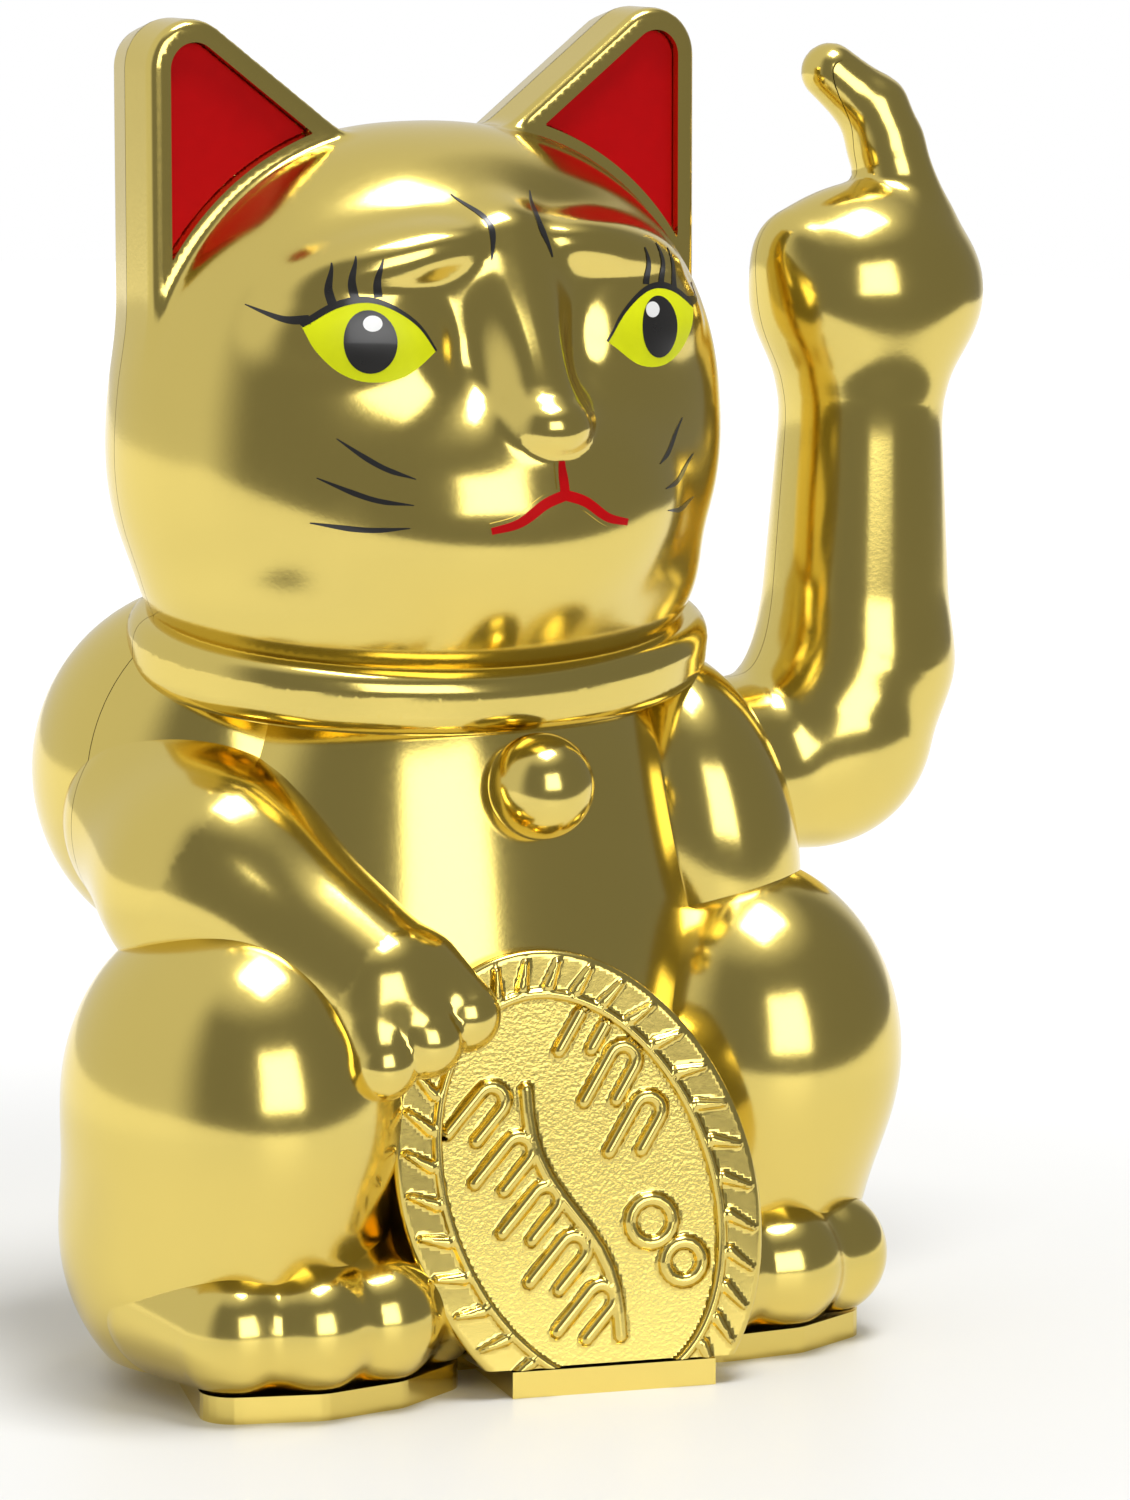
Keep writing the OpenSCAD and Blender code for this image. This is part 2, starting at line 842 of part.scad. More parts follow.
front_shell();
back_shell();
base_plate();
battery_door();
battery_cell();
contact_spring();
contact_plate();
switch_body();
switch_slider();
movement_frame();
bearing_bushes();
axle();
axle_clip();
pendulum_lever();
counterweight();
drive_magnet();
coil_bobbin();
coil_winding();
circuit_board();
board_components();
frame_screws();
base_screws();
arm_front_shell();
arm_back_shell();
arm_hub();
arm_screw();
lead_red();
lead_black();
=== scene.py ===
"""Waving cat figurine: the plated skins, enamelled face, windings and finishes around its working parts."""

import json
from collections import namedtuple
from math import cos, pi, radians, sin

import bmesh
import bpy
import numpy as np
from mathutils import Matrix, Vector

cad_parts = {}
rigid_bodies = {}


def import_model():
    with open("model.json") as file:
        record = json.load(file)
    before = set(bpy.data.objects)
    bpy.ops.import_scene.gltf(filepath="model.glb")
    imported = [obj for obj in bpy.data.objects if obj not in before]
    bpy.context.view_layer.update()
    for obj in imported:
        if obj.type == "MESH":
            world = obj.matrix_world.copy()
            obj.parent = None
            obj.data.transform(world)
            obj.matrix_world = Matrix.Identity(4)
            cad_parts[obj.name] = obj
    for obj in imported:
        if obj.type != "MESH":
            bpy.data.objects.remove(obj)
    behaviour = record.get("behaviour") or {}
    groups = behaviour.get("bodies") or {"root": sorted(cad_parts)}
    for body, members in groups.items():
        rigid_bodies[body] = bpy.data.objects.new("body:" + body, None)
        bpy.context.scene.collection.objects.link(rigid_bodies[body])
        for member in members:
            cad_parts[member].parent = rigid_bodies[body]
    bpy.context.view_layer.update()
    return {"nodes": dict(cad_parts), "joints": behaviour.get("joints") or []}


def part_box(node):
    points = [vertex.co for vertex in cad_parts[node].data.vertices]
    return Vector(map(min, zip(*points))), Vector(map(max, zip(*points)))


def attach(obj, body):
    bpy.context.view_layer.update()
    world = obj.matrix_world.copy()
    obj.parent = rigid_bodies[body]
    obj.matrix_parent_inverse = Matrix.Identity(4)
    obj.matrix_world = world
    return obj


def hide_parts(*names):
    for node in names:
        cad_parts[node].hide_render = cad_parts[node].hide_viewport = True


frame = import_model()

bl_info = {
    "name": "Waving cat figurine",
    "version": (1, 0, 0),
    "blender": (4, 5, 0),
    "location": "View3D > Sidebar > Cat",
    "description": "Plated skins, enamelled face and finishes of a battery-driven waving cat",
    "category": "Object",
}

# ---------------------------------------------------------------- places, in millimetres, from the frame
MM = 0.001


def low(node):
    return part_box(node)[0] / MM


def high(node):
    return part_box(node)[1] / MM


WAVE = next(joint for joint in frame["joints"] if joint["name"] == "arm_wave")
AXIS_Z = WAVE["pos_m"][2] / MM
SHELL_Z = low("back_shell").z
ARM_ROOT = low("arm_front_shell").x
SOCKET_FLOOR = ARM_ROOT - 0.7
HUB_END = high("arm_hub").x + 1
HUB_R = 4.7
ARM_R = AXIS_Z - low("arm_back_shell").z
SOCKET_R = ARM_R + 0.8
CUP_WALL = 1.8
BOSS_R = 3.6
BOSS_TOP = 17.3
SCREW_R = 1.5
BIG = 300


# ---------------------------------------------------------------- distance fields, in millimetres
def turned(p, centre, turn):
    """Coordinates of p about centre, undoing turns about Z, then Y, then X, in degrees."""
    x, y, z = (c - o for c, o in zip(p, centre))
    ax, ay, az = (radians(t) for t in turn)
    x, y = x * cos(az) + y * sin(az), y * cos(az) - x * sin(az)
    x, z = x * cos(ay) - z * sin(ay), z * cos(ay) + x * sin(ay)
    y, z = y * cos(ax) + z * sin(ax), z * cos(ax) - y * sin(ax)
    return x, y, z


def ellipsoid(p, centre, radii, turn=(0, 0, 0)):
    q = turned(p, centre, turn)
    near = np.sqrt(sum((c / r) ** 2 for c, r in zip(q, radii)))
    slope = np.sqrt(sum((c / (r * r)) ** 2 for c, r in zip(q, radii)))
    return near * (near - 1) / np.maximum(slope, 1e-9)


def limb(p, a, b, radius_a, radius_b):
    """A round-ended limb from a to b."""
    along = [v - u for u, v in zip(a, b)]
    q = [c - u for c, u in zip(p, a)]
    t = np.clip(sum(u * v for u, v in zip(q, along)) / sum(v * v for v in along), 0, 1)
    gap = np.sqrt(sum((u - v * t) ** 2 for u, v in zip(q, along)))
    return gap - (radius_a + (radius_b - radius_a) * t)


def blend(a, b, k):
    """Both forms, with a fillet about k wide where they meet."""
    h = np.maximum(k - np.abs(a - b), 0) / k
    return np.minimum(a, b) - h * h * h * k / 6


def carve(a, b, k):
    return -blend(-a, b, k)


def mirrored(p):
    return np.abs(p[0]), p[1], p[2]


def polygon(x, y, corners):
    """Distance to a convex outline whose corners run anticlockwise."""
    nearest = np.inf
    inside = True
    for (ax, ay), (bx, by) in zip(corners, corners[1:] + corners[:1]):
        ex, ey = bx - ax, by - ay
        t = np.clip(((x - ax) * ex + (y - ay) * ey) / (ex * ex + ey * ey), 0, 1)
        nearest = np.minimum(nearest, (x - ax - ex * t) ** 2 + (y - ay - ey * t) ** 2)
        inside = inside & (ex * (y - ay) - ey * (x - ax) > 0)
    return np.where(inside, -1, 1) * np.sqrt(nearest)


def slab(outline, y, y0, y1, edge):
    """A flat outline made solid from y0 to y1, its edges rounded by edge."""
    w = np.abs(y - (y0 + y1) / 2) - (y1 - y0) / 2 + edge
    d = outline + edge
    outside = np.sqrt(np.maximum(d, 0) ** 2 + np.maximum(w, 0) ** 2)
    return outside + np.minimum(np.maximum(d, w), 0) - edge


def oval(x, y, a, b):
    near = np.sqrt((x / a) ** 2 + (y / b) ** 2) + 1e-9
    slope = np.sqrt((x / a**2) ** 2 + (y / b**2) ** 2) / near + 1e-9
    return (near - 1) / slope


def rod(p, x0, x1, radius):
    """A round bar along the arm's axis."""
    return np.maximum(np.hypot(p[1], p[2] - AXIS_Z) - radius, np.abs(p[0] - (x0 + x1) / 2) - (x1 - x0) / 2)


# ---------------------------------------------------------------- the figure's lumps
SKULL_MID = (0, -3, 107)
SKULL = (37.2, 25.4, 32.6)
SKULL_POWER = 2.25
EAR = [(29.9, 146.3), (12.0, 132.8), (29.9, 112)]
EAR_ROUND = 5.5
EAR_FRONT = -6.3
EAR_BACK = 6.0
PIT_INSET = 2.5
PIT_FLOOR = -4.8
PIT_ABOVE_SKULL = 1.7


def skull(p):
    x, y, z = (c - o for c, o in zip(p, SKULL_MID))
    wide = 1 + 0.06 * np.clip(-z / 32, -1, 1)
    u = [np.abs(x) / wide / SKULL[0], np.abs(y) / SKULL[1], np.abs(z) / SKULL[2]]
    near = (u[0] ** SKULL_POWER + u[1] ** 2 + u[2] ** SKULL_POWER) ** (1 / 2.1)
    slope = np.sqrt(sum((c / r) ** 2 for c, r in zip(u, SKULL)) + 1e-12)
    return (near - 1) * np.maximum(near, 0.3) / slope


def ear_outline(m):
    return polygon(m[0], m[2], EAR) - EAR_ROUND


def ear_panel(p, inset, front, back):
    """A plate shaped like the sunk panel in the front of each ear."""
    m = mirrored(p)
    edge = np.maximum(ear_outline(m) + PIT_INSET + inset, PIT_ABOVE_SKULL + inset - skull(m))
    return np.maximum(edge, np.maximum(front - m[1], m[1] - back))


def ear_cut(p):
    return ear_panel(p, 0, EAR_FRONT - 2, PIT_FLOOR)


def head(p):
    m = mirrored(p)
    h = skull(p)
    ear = slab(ear_outline(m) + np.maximum(m[1], 0) * 0.25, m[1], EAR_FRONT, EAR_BACK, 1.3)
    h = blend(blend(h, ellipsoid(p, (0, -4.5, 89), (33.5, 24.5, 18)), 4), ear, 2.2)
    bridge = limb(p, (0, -22.2, 127), (0, -29, 110), 3.4, 4.6)
    muzzle = ellipsoid(p, (0, -17, 97.5), (23.5, 19, 16))
    nose = ellipsoid(p, (0, -31.4, 107.4), (5.2, 5.4, 3.9))
    h = blend(blend(h, bridge, 9), muzzle, 8)
    h = blend(h, ellipsoid(m, (14.5, -20.6, 125.2), (11.5, 5.2, 3.8), (0, 12, 20)), 4.5)
    h = carve(h, ellipsoid(m, (8.6, -31.6, 118), (3, 5.5, 7), (0, 16, 0)), 6)
    h = blend(h, ellipsoid(m, (17.8, -19.8, 117), (11, 5.6, 6.6), (0, 0, 20)), 3)
    return blend(h, nose, 2)


def torso(p):
    return blend(ellipsoid(p, (0, -3, 52), (33, 27.5, 40)), ellipsoid(p, (0, -4, 34), (36, 29, 34)), 12)


def rump(p):
    narrow = 1 - 0.12 * np.clip((34 - p[2]) / 34, 0, 1) ** 2
    q = (p[0] / narrow, p[1] / narrow, p[2])
    return blend(ellipsoid(q, (0, 0, 34), (45.2, 28.5, 46)), ellipsoid(q, (0, 0, 10), (43, 26.5, 40)), 10)


def shoulders(p):
    return ellipsoid(mirrored(p), (20.5, 6.5, 66), (21.5, 21.5, 21.5))


def thighs(p):
    m = mirrored(p)
    return blend(ellipsoid(m, (33, -19, 33), (18.5, 21, 22)), ellipsoid(m, (31.5, -14, 17), (18, 20, 20)), 8)


def flank(p):
    return ellipsoid(p, (30, -9, 55), (13.5, 19, 24), (0, -8, 0))


TOES = [(14, -28), (22, -32), (30.5, -32.6), (38.5, -29.5)]


def feet(p):
    m = mirrored(p)
    foot = np.inf
    for x, y in TOES:
        toe = limb(m, (x + 1, y + 11, 11.5), (x, y, 9.6), 8.6, 7.4)
        foot = toe if foot is np.inf else blend(foot, toe, 2.8)
    return blend(foot, ellipsoid(m, (26.5, -16, 10), (18.5, 18, 13)), 6)


def resting_arm(p):
    upper = limb(p, (-30, -1, 62), (-32, -14, 57), 13, 12.5)
    arm = blend(upper, limb(p, (-32, -14, 57), (-21.5, -31, 46), 12.5, 9), 6)
    paw = np.inf
    for i in (-1, 0, 1):
        knuckle = (-20.5 + 3.6 * i, -33, 46 + 1.5 * i)
        tip = (-19 + 5.2 * i, -37 if i else -37.8, 41.4 + 2.2 * i)
        toe = limb(p, knuckle, tip, 5, 4.2)
        paw = toe if paw is np.inf else blend(paw, toe, 0.8)
    return blend(arm, paw, 3)


COLLAR_MID = (0, -3.5, 80.5)
COLLAR_TILT = 10


def collar(p):
    x, y, z = turned(p, COLLAR_MID, (COLLAR_TILT, 0, 0))
    return slab(oval(x, y, 35.4, 25.6), z, -3.9, 3.9, 2.8)


def bell(p):
    return ellipsoid(p, (0, -30.6, 67.1), (6, 6, 6))


# ---------------------------------------------------------------- the coin, on its own leaning plane
COIN_FOOT = (-0.4, -40.95, 0)
COIN_TURN = 14
COIN_LEAN = 5
COIN_TILT = 20
COIN_MID = 22.8
COIN_HALF = (20.3, 28.0)
COIN_DEEP = 16
RIM_IN = 5.0
RIM_R = 0.55
PANEL_DEEP = 0.45
STROKE_R = 0.8
NOTCHES = 34


def coin_axes():
    """Unit vectors across, up and out of the coin's face."""
    t, lean = radians(-COIN_TURN), radians(COIN_LEAN)
    across = np.array([cos(t), sin(t), 0])
    inward = np.array([-sin(t), cos(t), 0])
    up = cos(lean) * np.array([0, 0, 1]) + sin(lean) * inward
    return np.array([across, up, np.cross(across, up)])


def hook(x, y, turn, length, radius, back):
    """A ridge that runs straight, turns round a half circle and comes part of the way back."""
    c, s = cos(radians(turn)), sin(radians(turn))
    path = [(0, 0), (0, length)]
    path += [(radius - radius * cos(pi * k / 8), length + radius * sin(pi * k / 8)) for k in range(1, 9)]
    path += [(2 * radius, length - back)]
    return [(x + u * c - v * s, y + u * s + v * c) for u, v in path]


def ring(x, y, radius):
    return [(x + radius * cos(pi * k / 8), y + radius * sin(pi * k / 8)) for k in range(17)]


def wave(x, y, length, sway):
    return [(x + sway * sin(2 * pi * k / 12), y + length * k / 12) for k in range(13)]


def coin_strokes():
    """Ornament in the coin's own tilted axes: two combs of hooks, a wave between them and two rings."""
    left = [hook(-11.8 + 0.9 * i, 12 - 6.4 * i, -62, 6.0, 1.6, 4.5) for i in range(5)]
    right = [hook(3.5 + 0.6 * i, 15.5 - 6.4 * i, -52, 6.2, 1.6, 4.2) for i in range(3)]
    return left + right + [wave(-1.6, -17, 30, 1.5), ring(6.4, -6.5, 2.5), ring(8.2, -12.2, 2.2)]


STROKES = coin_strokes()


def nearest_stroke(a, b):
    best = np.full(np.shape(a), 1e3)
    for path in STROKES:
        for (ax, ay), (bx, by) in zip(path, path[1:]):
            ex, ey = bx - ax, by - ay
            t = np.clip(((a - ax) * ex + (b - ay) * ey) / (ex * ex + ey * ey), 0, 1)
            best = np.minimum(best, (a - ax - ex * t) ** 2 + (b - ay - ey * t) ** 2)
    return np.sqrt(best)


def nearest_notch(a, b):
    """Distance less radius to the tapered ridges that stand round the border."""
    best = np.full(np.shape(a), 1e3)
    for i in range(NOTCHES):
        angle = 2 * pi * (i + 0.5) / NOTCHES
        out = (cos(angle) * (COIN_HALF[0] - 1.3), sin(angle) * (COIN_HALF[1] - 1.3))
        slant = angle + 0.35
        inner = (cos(slant - 0.29) * (COIN_HALF[0] - 4.1), sin(slant - 0.29) * (COIN_HALF[1] - 4.1))
        ex, ey = inner[0] - out[0], inner[1] - out[1]
        t = np.clip(((a - out[0]) * ex + (b - out[1]) * ey) / (ex * ex + ey * ey), 0, 1)
        gap = np.hypot(a - out[0] - ex * t, b - out[1] - ey * t)
        best = np.minimum(best, gap + 0.35 * (1 - t))
    return best


def coin_plan(u, v):
    """The oval outline, and the coin's own tilted axes, at points of its plane."""
    t = radians(COIN_TILT)
    a = u * cos(t) + (v - COIN_MID) * sin(t)
    b = (v - COIN_MID) * cos(t) - u * sin(t)
    return oval(a, b, *COIN_HALF), a, b


def coin_local(q):
    u, v, n = q
    edge, a, b = coin_plan(u, v)
    flat = slab(edge, n, -COIN_DEEP, 0, 0.8)
    panel = edge + RIM_IN + RIM_R
    flat = carve(flat, np.maximum(panel, -n - PANEL_DEEP), 0.3)
    rim = np.hypot(edge + RIM_IN, n) - RIM_R
    strokes = np.hypot(nearest_stroke(a, b), n + PANEL_DEEP) - STROKE_R
    strokes = np.maximum(strokes, panel + 0.4)
    notches = np.hypot(nearest_notch(a, b), n + 0.1) - 0.75
    return blend(blend(blend(flat, rim, 0.35), strokes, 0.35), notches, 0.35)


COIN_AXES = coin_axes()


def coin(p):
    place = [c - o for c, o in zip(p, COIN_FOOT)]
    return coin_local([sum(c * float(e) for c, e in zip(place, axis)) for axis in COIN_AXES])


# ---------------------------------------------------------------- the raised arm
FINGER = [((67.9, -1.5, 64), 5), ((65.9, 0.3, 72.8), 4.35), ((64.8, 1.3, 76.8), 4), ((59.8, 3, 81.3), 3.4)]


def waving_arm(p):
    def above(x, y, z):
        return x, y, AXIS_Z + z

    upper = limb(p, (ARM_ROOT - 9, 0, AXIS_Z), above(54, 0, 0.3), ARM_R, ARM_R)
    elbow = blend(ellipsoid(p, above(56.8, -0.5, 2.4), (12.4, 12.2, 12.4)), limb(p, above(58, -1, 5), above(61, -1, 12), 12, 11.6), 3)
    fore = limb(p, above(61, -1, 12), above(61.5, -1.5, 43), 11.6, 9.5)
    arm = blend(blend(upper, elbow, 3), fore, 3)
    fist = blend(ellipsoid(p, above(62.5, -1, 55.5), (14.6, 12, 12.5)), limb(p, above(52.8, -1, 60.5), above(66, -1, 62.5), 4.8, 6), 5)
    arm = blend(arm, fist, 8)
    finger = np.inf
    for (base, thick), (tip, thin) in zip(FINGER, FINGER[1:]):
        joint = limb(p, above(*base), above(*tip), thick, thin)
        finger = joint if finger is np.inf else blend(finger, joint, 2)
    return blend(arm, finger, 3)


Lump = namedtuple("Lump", "field low high step")
FIGURE = [
    Lump(head, (-41, -42, 68), (41, 26, 156), 0.75),
    Lump(torso, (-38, -35, -2), (38, 28, 94), 1.1),
    Lump(rump, (-47, -30, -4), (47, 30, 82), 1.1),
    Lump(shoulders, (-45, -17, 42), (45, 30, 90), 1.1),
    Lump(thighs, (-54, -44, -8), (54, 11, 60), 1.1),
    Lump(flank, (10, -32, 28), (48, 14, 82), 1.0),
    Lump(feet, (-50, -45, -8), (50, 8, 28), 0.8),
    Lump(resting_arm, (-48, -46, 32), (-6, 16, 80), 0.8),
    Lump(collar, (-40, -34, 66), (40, 28, 94), 0.8),
    Lump(bell, (-8, -38, 60), (8, -23, 75), 0.5),
    Lump(coin, (-27, -9, -17), (27, 54, 2), 0.4),
]
ARM = Lump(waving_arm, (18, -15, 49), (80, 15, 150), 0.75)


# ---------------------------------------------------------------- fields made into meshes
def gradient(field, points, step=0.02):
    slope = np.empty_like(points)
    for axis in range(3):
        nudge = np.zeros(3)
        nudge[axis] = step
        slope[:, axis] = (field((points + nudge).T) - field((points - nudge).T)) / (2 * step)
    return slope


def units(vectors):
    return vectors / np.maximum(np.linalg.norm(vectors, axis=1), 1e-9)[:, None]


def skin_of(field, low_corner, high_corner, step):
    """Points and outward four-sided faces of a field's zero surface, one point to each grid cell it crosses."""
    axes = [np.arange(a, b + step, step) for a, b in zip(low_corner, high_corner)]
    d = field(np.meshgrid(*axes, indexing="ij"))
    cells = np.array(d.shape) - 1
    corners = [(i, j, k) for i in (0, 1) for j in (0, 1) for k in (0, 1)]
    window = {c: d[tuple(slice(o, o + n) for o, n in zip(c, cells))] for c in corners}
    inside = sum((window[c] < 0).astype(int) for c in corners)
    crossed = (inside > 0) & (inside < 8)
    where = np.argwhere(crossed)
    ids = np.full(crossed.shape, -1)
    ids[crossed] = np.arange(len(where))
    values = {c: window[c][crossed] for c in corners}
    total = np.zeros((len(where), 3))
    count = np.zeros(len(where))
    for c in corners:
        for axis in (i for i in range(3) if not c[i]):
            a, b = values[c], values[tuple(1 if i == axis else c[i] for i in range(3))]
            change = (a < 0) != (b < 0)
            spot = np.repeat(np.array(c, float)[None], len(where), 0)
            spot[:, axis] += np.where(change, a / np.where(change, a - b, 1), 0)
            total[change] += spot[change]
            count[change] += 1
    points = np.array(low_corner) + (where + total / count[:, None]) * step
    faces = []
    for axis in range(3):
        a = d[tuple(slice(0, -1) if i == axis else slice(1, -1) for i in range(3))]
        b = d[tuple(slice(1, None) if i == axis else slice(1, -1) for i in range(3))]
        for leaving in (True, False):
            base = np.argwhere(((a < 0) == leaving) & ((b < 0) != leaving)) + 1
            base[:, axis] -= 1
            ring_ids = []
            for du, dv in ((1, 1), (0, 1), (0, 0), (1, 0)):
                cell = base.copy()
                cell[:, (axis + 1) % 3] -= du
                cell[:, (axis + 2) % 3] -= dv
                ring_ids.append(ids[cell[:, 0], cell[:, 1], cell[:, 2]])
            faces.append(np.stack(ring_ids if leaving else ring_ids[::-1], 1))
    for _ in range(3):
        slope = gradient(field, points)
        pull = np.clip(field(points.T), -step, step) / np.maximum((slope**2).sum(1), 1e-3)
        points = points - pull[:, None] * slope
    return points, np.concatenate(faces)


def solid(name, points, faces, tag):
    """A mesh object in millimetres, each face tagged with the lump that it belongs to."""
    mesh = bpy.data.meshes.new(name)
    mesh.from_pydata(np.asarray(points).tolist(), [], [list(f) for f in faces])
    mesh.attributes.new("lump", "INT", "FACE").data.foreach_set("value", np.full(len(faces), tag, np.int32))
    made = bpy.data.objects.new(name, mesh)
    bpy.context.scene.collection.objects.link(made)
    return made


def lump_solid(lump, tag):
    if lump.field is not coin:
        return solid("lump", *skin_of(*lump), tag)
    points, faces = skin_of(coin_local, *lump[1:])
    return solid("lump", points @ COIN_AXES + np.array(COIN_FOOT), faces, tag)


FLAT = -1


def block(low_corner, high_corner):
    pts = [[(low_corner, high_corner)[b][i] for i, b in enumerate(bits)] for bits in np.ndindex(2, 2, 2)]
    faces = [(0, 1, 3, 2), (4, 6, 7, 5), (0, 4, 5, 1), (2, 3, 7, 6), (0, 2, 6, 4), (1, 5, 7, 3)]
    return solid("block", pts, faces, FLAT)


def drum(foot, top, radius, tag=FLAT, sides=96):
    """A closed cylinder between two points on a line along X or along Z."""
    along = [i for i in range(3) if foot[i] != top[i]][0]
    u, v = (along + 1) % 3, (along + 2) % 3
    pts = []
    for end in (foot, top):
        for k in range(sides):
            p = list(end)
            p[u] += radius * cos(2 * pi * k / sides)
            p[v] += radius * sin(2 * pi * k / sides)
            pts.append(p)
    faces = [(k, (k + 1) % sides, sides + (k + 1) % sides, sides + k) for k in range(sides)]
    faces += [tuple(range(sides))[::-1], tuple(range(sides, 2 * sides))]
    return solid("drum", pts, faces, tag)


def settle(piece):
    """Gives the piece the mesh that its modifiers make, and drops the modifiers."""
    mesh = bpy.data.meshes.new_from_object(piece.evaluated_get(bpy.context.evaluated_depsgraph_get()))
    piece.modifiers.clear()
    piece.data = mesh


def joined(base, operation, *others):
    for other in others:
        step = base.modifiers.new(operation, "BOOLEAN")
        step.operation = operation
        step.solver = "MANIFOLD"
        step.object = other
    settle(base)
    for other in others:
        bpy.data.objects.remove(other)
    return base


def half_of(piece, name, low_corner, high_corner):
    """The part of a piece inside a box, as a new object."""
    part = piece.copy()
    part.data = piece.data.copy()
    part.name = part.data.name = name
    bpy.context.scene.collection.objects.link(part)
    return joined(part, "INTERSECT", block(low_corner, high_corner))


def set_normals(mesh, fields, bend=0.5):
    """Each corner's normal from the slope of its own lump, so that creases stay crisp and lumps stay smooth.
    fields maps a face's tag to a field and its sign, which is -1 on an inner wall."""
    faces = len(mesh.polygons)
    loops = len(mesh.loops)
    tags = np.empty(faces, np.int32)
    mesh.attributes["lump"].data.foreach_get("value", tags)
    flat = np.empty(faces * 3)
    mesh.polygon_normals.foreach_get("vector", flat)
    sizes = np.empty(faces, np.int32)
    mesh.polygons.foreach_get("loop_total", sizes)
    corner_vertex = np.empty(loops, np.int32)
    mesh.loops.foreach_get("vertex_index", corner_vertex)
    spots = np.empty(len(mesh.vertices) * 3)
    mesh.vertices.foreach_get("co", spots)
    spots = spots.reshape(-1, 3)
    face_normal = np.repeat(flat.reshape(-1, 3), sizes, 0)
    corner_tag = np.repeat(tags, sizes)
    normals = face_normal.copy()
    for tag, (field, sign) in fields.items():
        mine = corner_tag == tag
        if not mine.any():
            continue
        used, back = np.unique(corner_vertex[mine], return_inverse=True)
        slope = units(gradient(field, spots[used])) * sign
        slope = slope[back]
        agree = (slope * face_normal[mine]).sum(1) > bend
        normals[mine] = np.where(agree[:, None], slope, face_normal[mine])
    mesh.polygons.foreach_set("use_smooth", np.ones(faces, bool))
    mesh.normals_split_custom_set(normals.tolist())


def finish_piece(piece, body, replaced=()):
    """Turns a piece from millimetres to metres and hands it to the frame."""
    mesh = piece.data
    spots = np.empty(len(mesh.vertices) * 3, np.float32)
    mesh.vertices.foreach_get("co", spots)
    mesh.vertices.foreach_set("co", spots * MM)
    if "lump" in mesh.attributes:
        mesh.attributes.remove(mesh.attributes["lump"])
    mesh.update()
    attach(piece, body)
    if replaced:
        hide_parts(*replaced)


# ---------------------------------------------------------------- shader nodes
class Value:
    """A shader socket that can stand in a sum."""

    def __init__(self, finish, socket):
        self.finish = finish
        self.socket = socket

    def _sum(self, operation, a, b):
        return self.finish.node("ShaderNodeMath", {"operation": operation}, {0: a, 1: b})

    def __add__(self, other):
        return self._sum("ADD", self, other)

    def __sub__(self, other):
        return self._sum("SUBTRACT", self, other)

    def __mul__(self, other):
        return self._sum("MULTIPLY", self, other)

    def __rsub__(self, other):
        return self._sum("SUBTRACT", other, self)

    __radd__ = __add__
    __rmul__ = __mul__

    def over(self, limit, soft):
        """0 below limit and 1 above it, through a soft step."""
        settings = {"interpolation_type": "SMOOTHSTEP"}
        sockets = {"Value": self, "From Min": limit - soft, "From Max": limit + soft}
        return self.finish.node("ShaderNodeMapRange", settings, sockets)


class Finish:
    """One material or the world, built node by node."""

    def __init__(self, name, owner=None):
        self.owner = owner or bpy.data.materials.new(name)
        self.owner.use_nodes = True
        self.tree = self.owner.node_tree
        self.tree.nodes.clear()

    def raw(self, kind, settings=None, sockets=None):
        node = self.tree.nodes.new(kind)
        for key, value in (settings or {}).items():
            setattr(node, key, value)
        for key, value in (sockets or {}).items():
            socket = node.inputs[key]
            if isinstance(value, Value):
                self.tree.links.new(value.socket, socket)
            else:
                socket.default_value = value
        return node

    def node(self, kind, settings=None, sockets=None, out=0):
        return Value(self, self.raw(kind, settings, sockets).outputs[out])

    def place(self):
        return self.node("ShaderNodeTexCoord", out="Object")

    def noise(self, size_mm, detail=2.0):
        """Cloudy noise whose lumps are about size_mm across."""
        sockets = {"Vector": self.place(), "Scale": 1 / (size_mm * MM), "Detail": detail}
        return self.node("ShaderNodeTexNoise", {}, sockets, out="Fac")

    def mix(self, factor, a, b):
        settings = {"data_type": "RGBA"}
        node = self.raw("ShaderNodeMix", settings)
        for key, value in (("Factor_Float", factor), ("A_Color", a), ("B_Color", b)):
            socket = next(s for s in node.inputs if s.identifier == key)
            if isinstance(value, Value):
                self.tree.links.new(value.socket, socket)
            else:
                socket.default_value = value
        return Value(self, next(s for s in node.outputs if s.identifier == "Result_Color"))

    def bump(self, height, height_mm, below=None):
        sockets = {"Height": height, "Distance": height_mm * MM, "Strength": 1.0}
        if below is not None:
            sockets["Normal"] = below
        return self.node("ShaderNodeBump", {}, sockets)

    def surface(self, **sockets):
        names = {key.replace("_", " "): value for key, value in sockets.items()}
        shader = self.node("ShaderNodeBsdfPrincipled", {}, names)
        self.raw("ShaderNodeOutputMaterial", {}, {"Surface": shader})
        return self.owner


def rgba(colour):
    return (*colour, 1.0)


def shade(colour, factor):
    return rgba([c * factor for c in colour])


# ---------------------------------------------------------------- finishes
def plated_gold(name, colour, grain_mm, grain_height, roughness):
    """Vacuum-plated plastic: a mirror over a fine orange-peel grain and a slow moulding ripple."""
    f = Finish(name)
    tone = f.noise(14, 3)
    grain = f.noise(grain_mm, 2)
    ripple = f.bump(f.noise(9, 1), 0.012)
    normal = f.bump(grain, grain_height, ripple)
    return f.surface(
        Base_Color=f.mix(tone, shade(colour, 0.97), shade(colour, 1.03)),
        Metallic=1.0,
        Roughness=roughness + f.noise(0.8, 2) * 0.05,
        Normal=normal,
    )


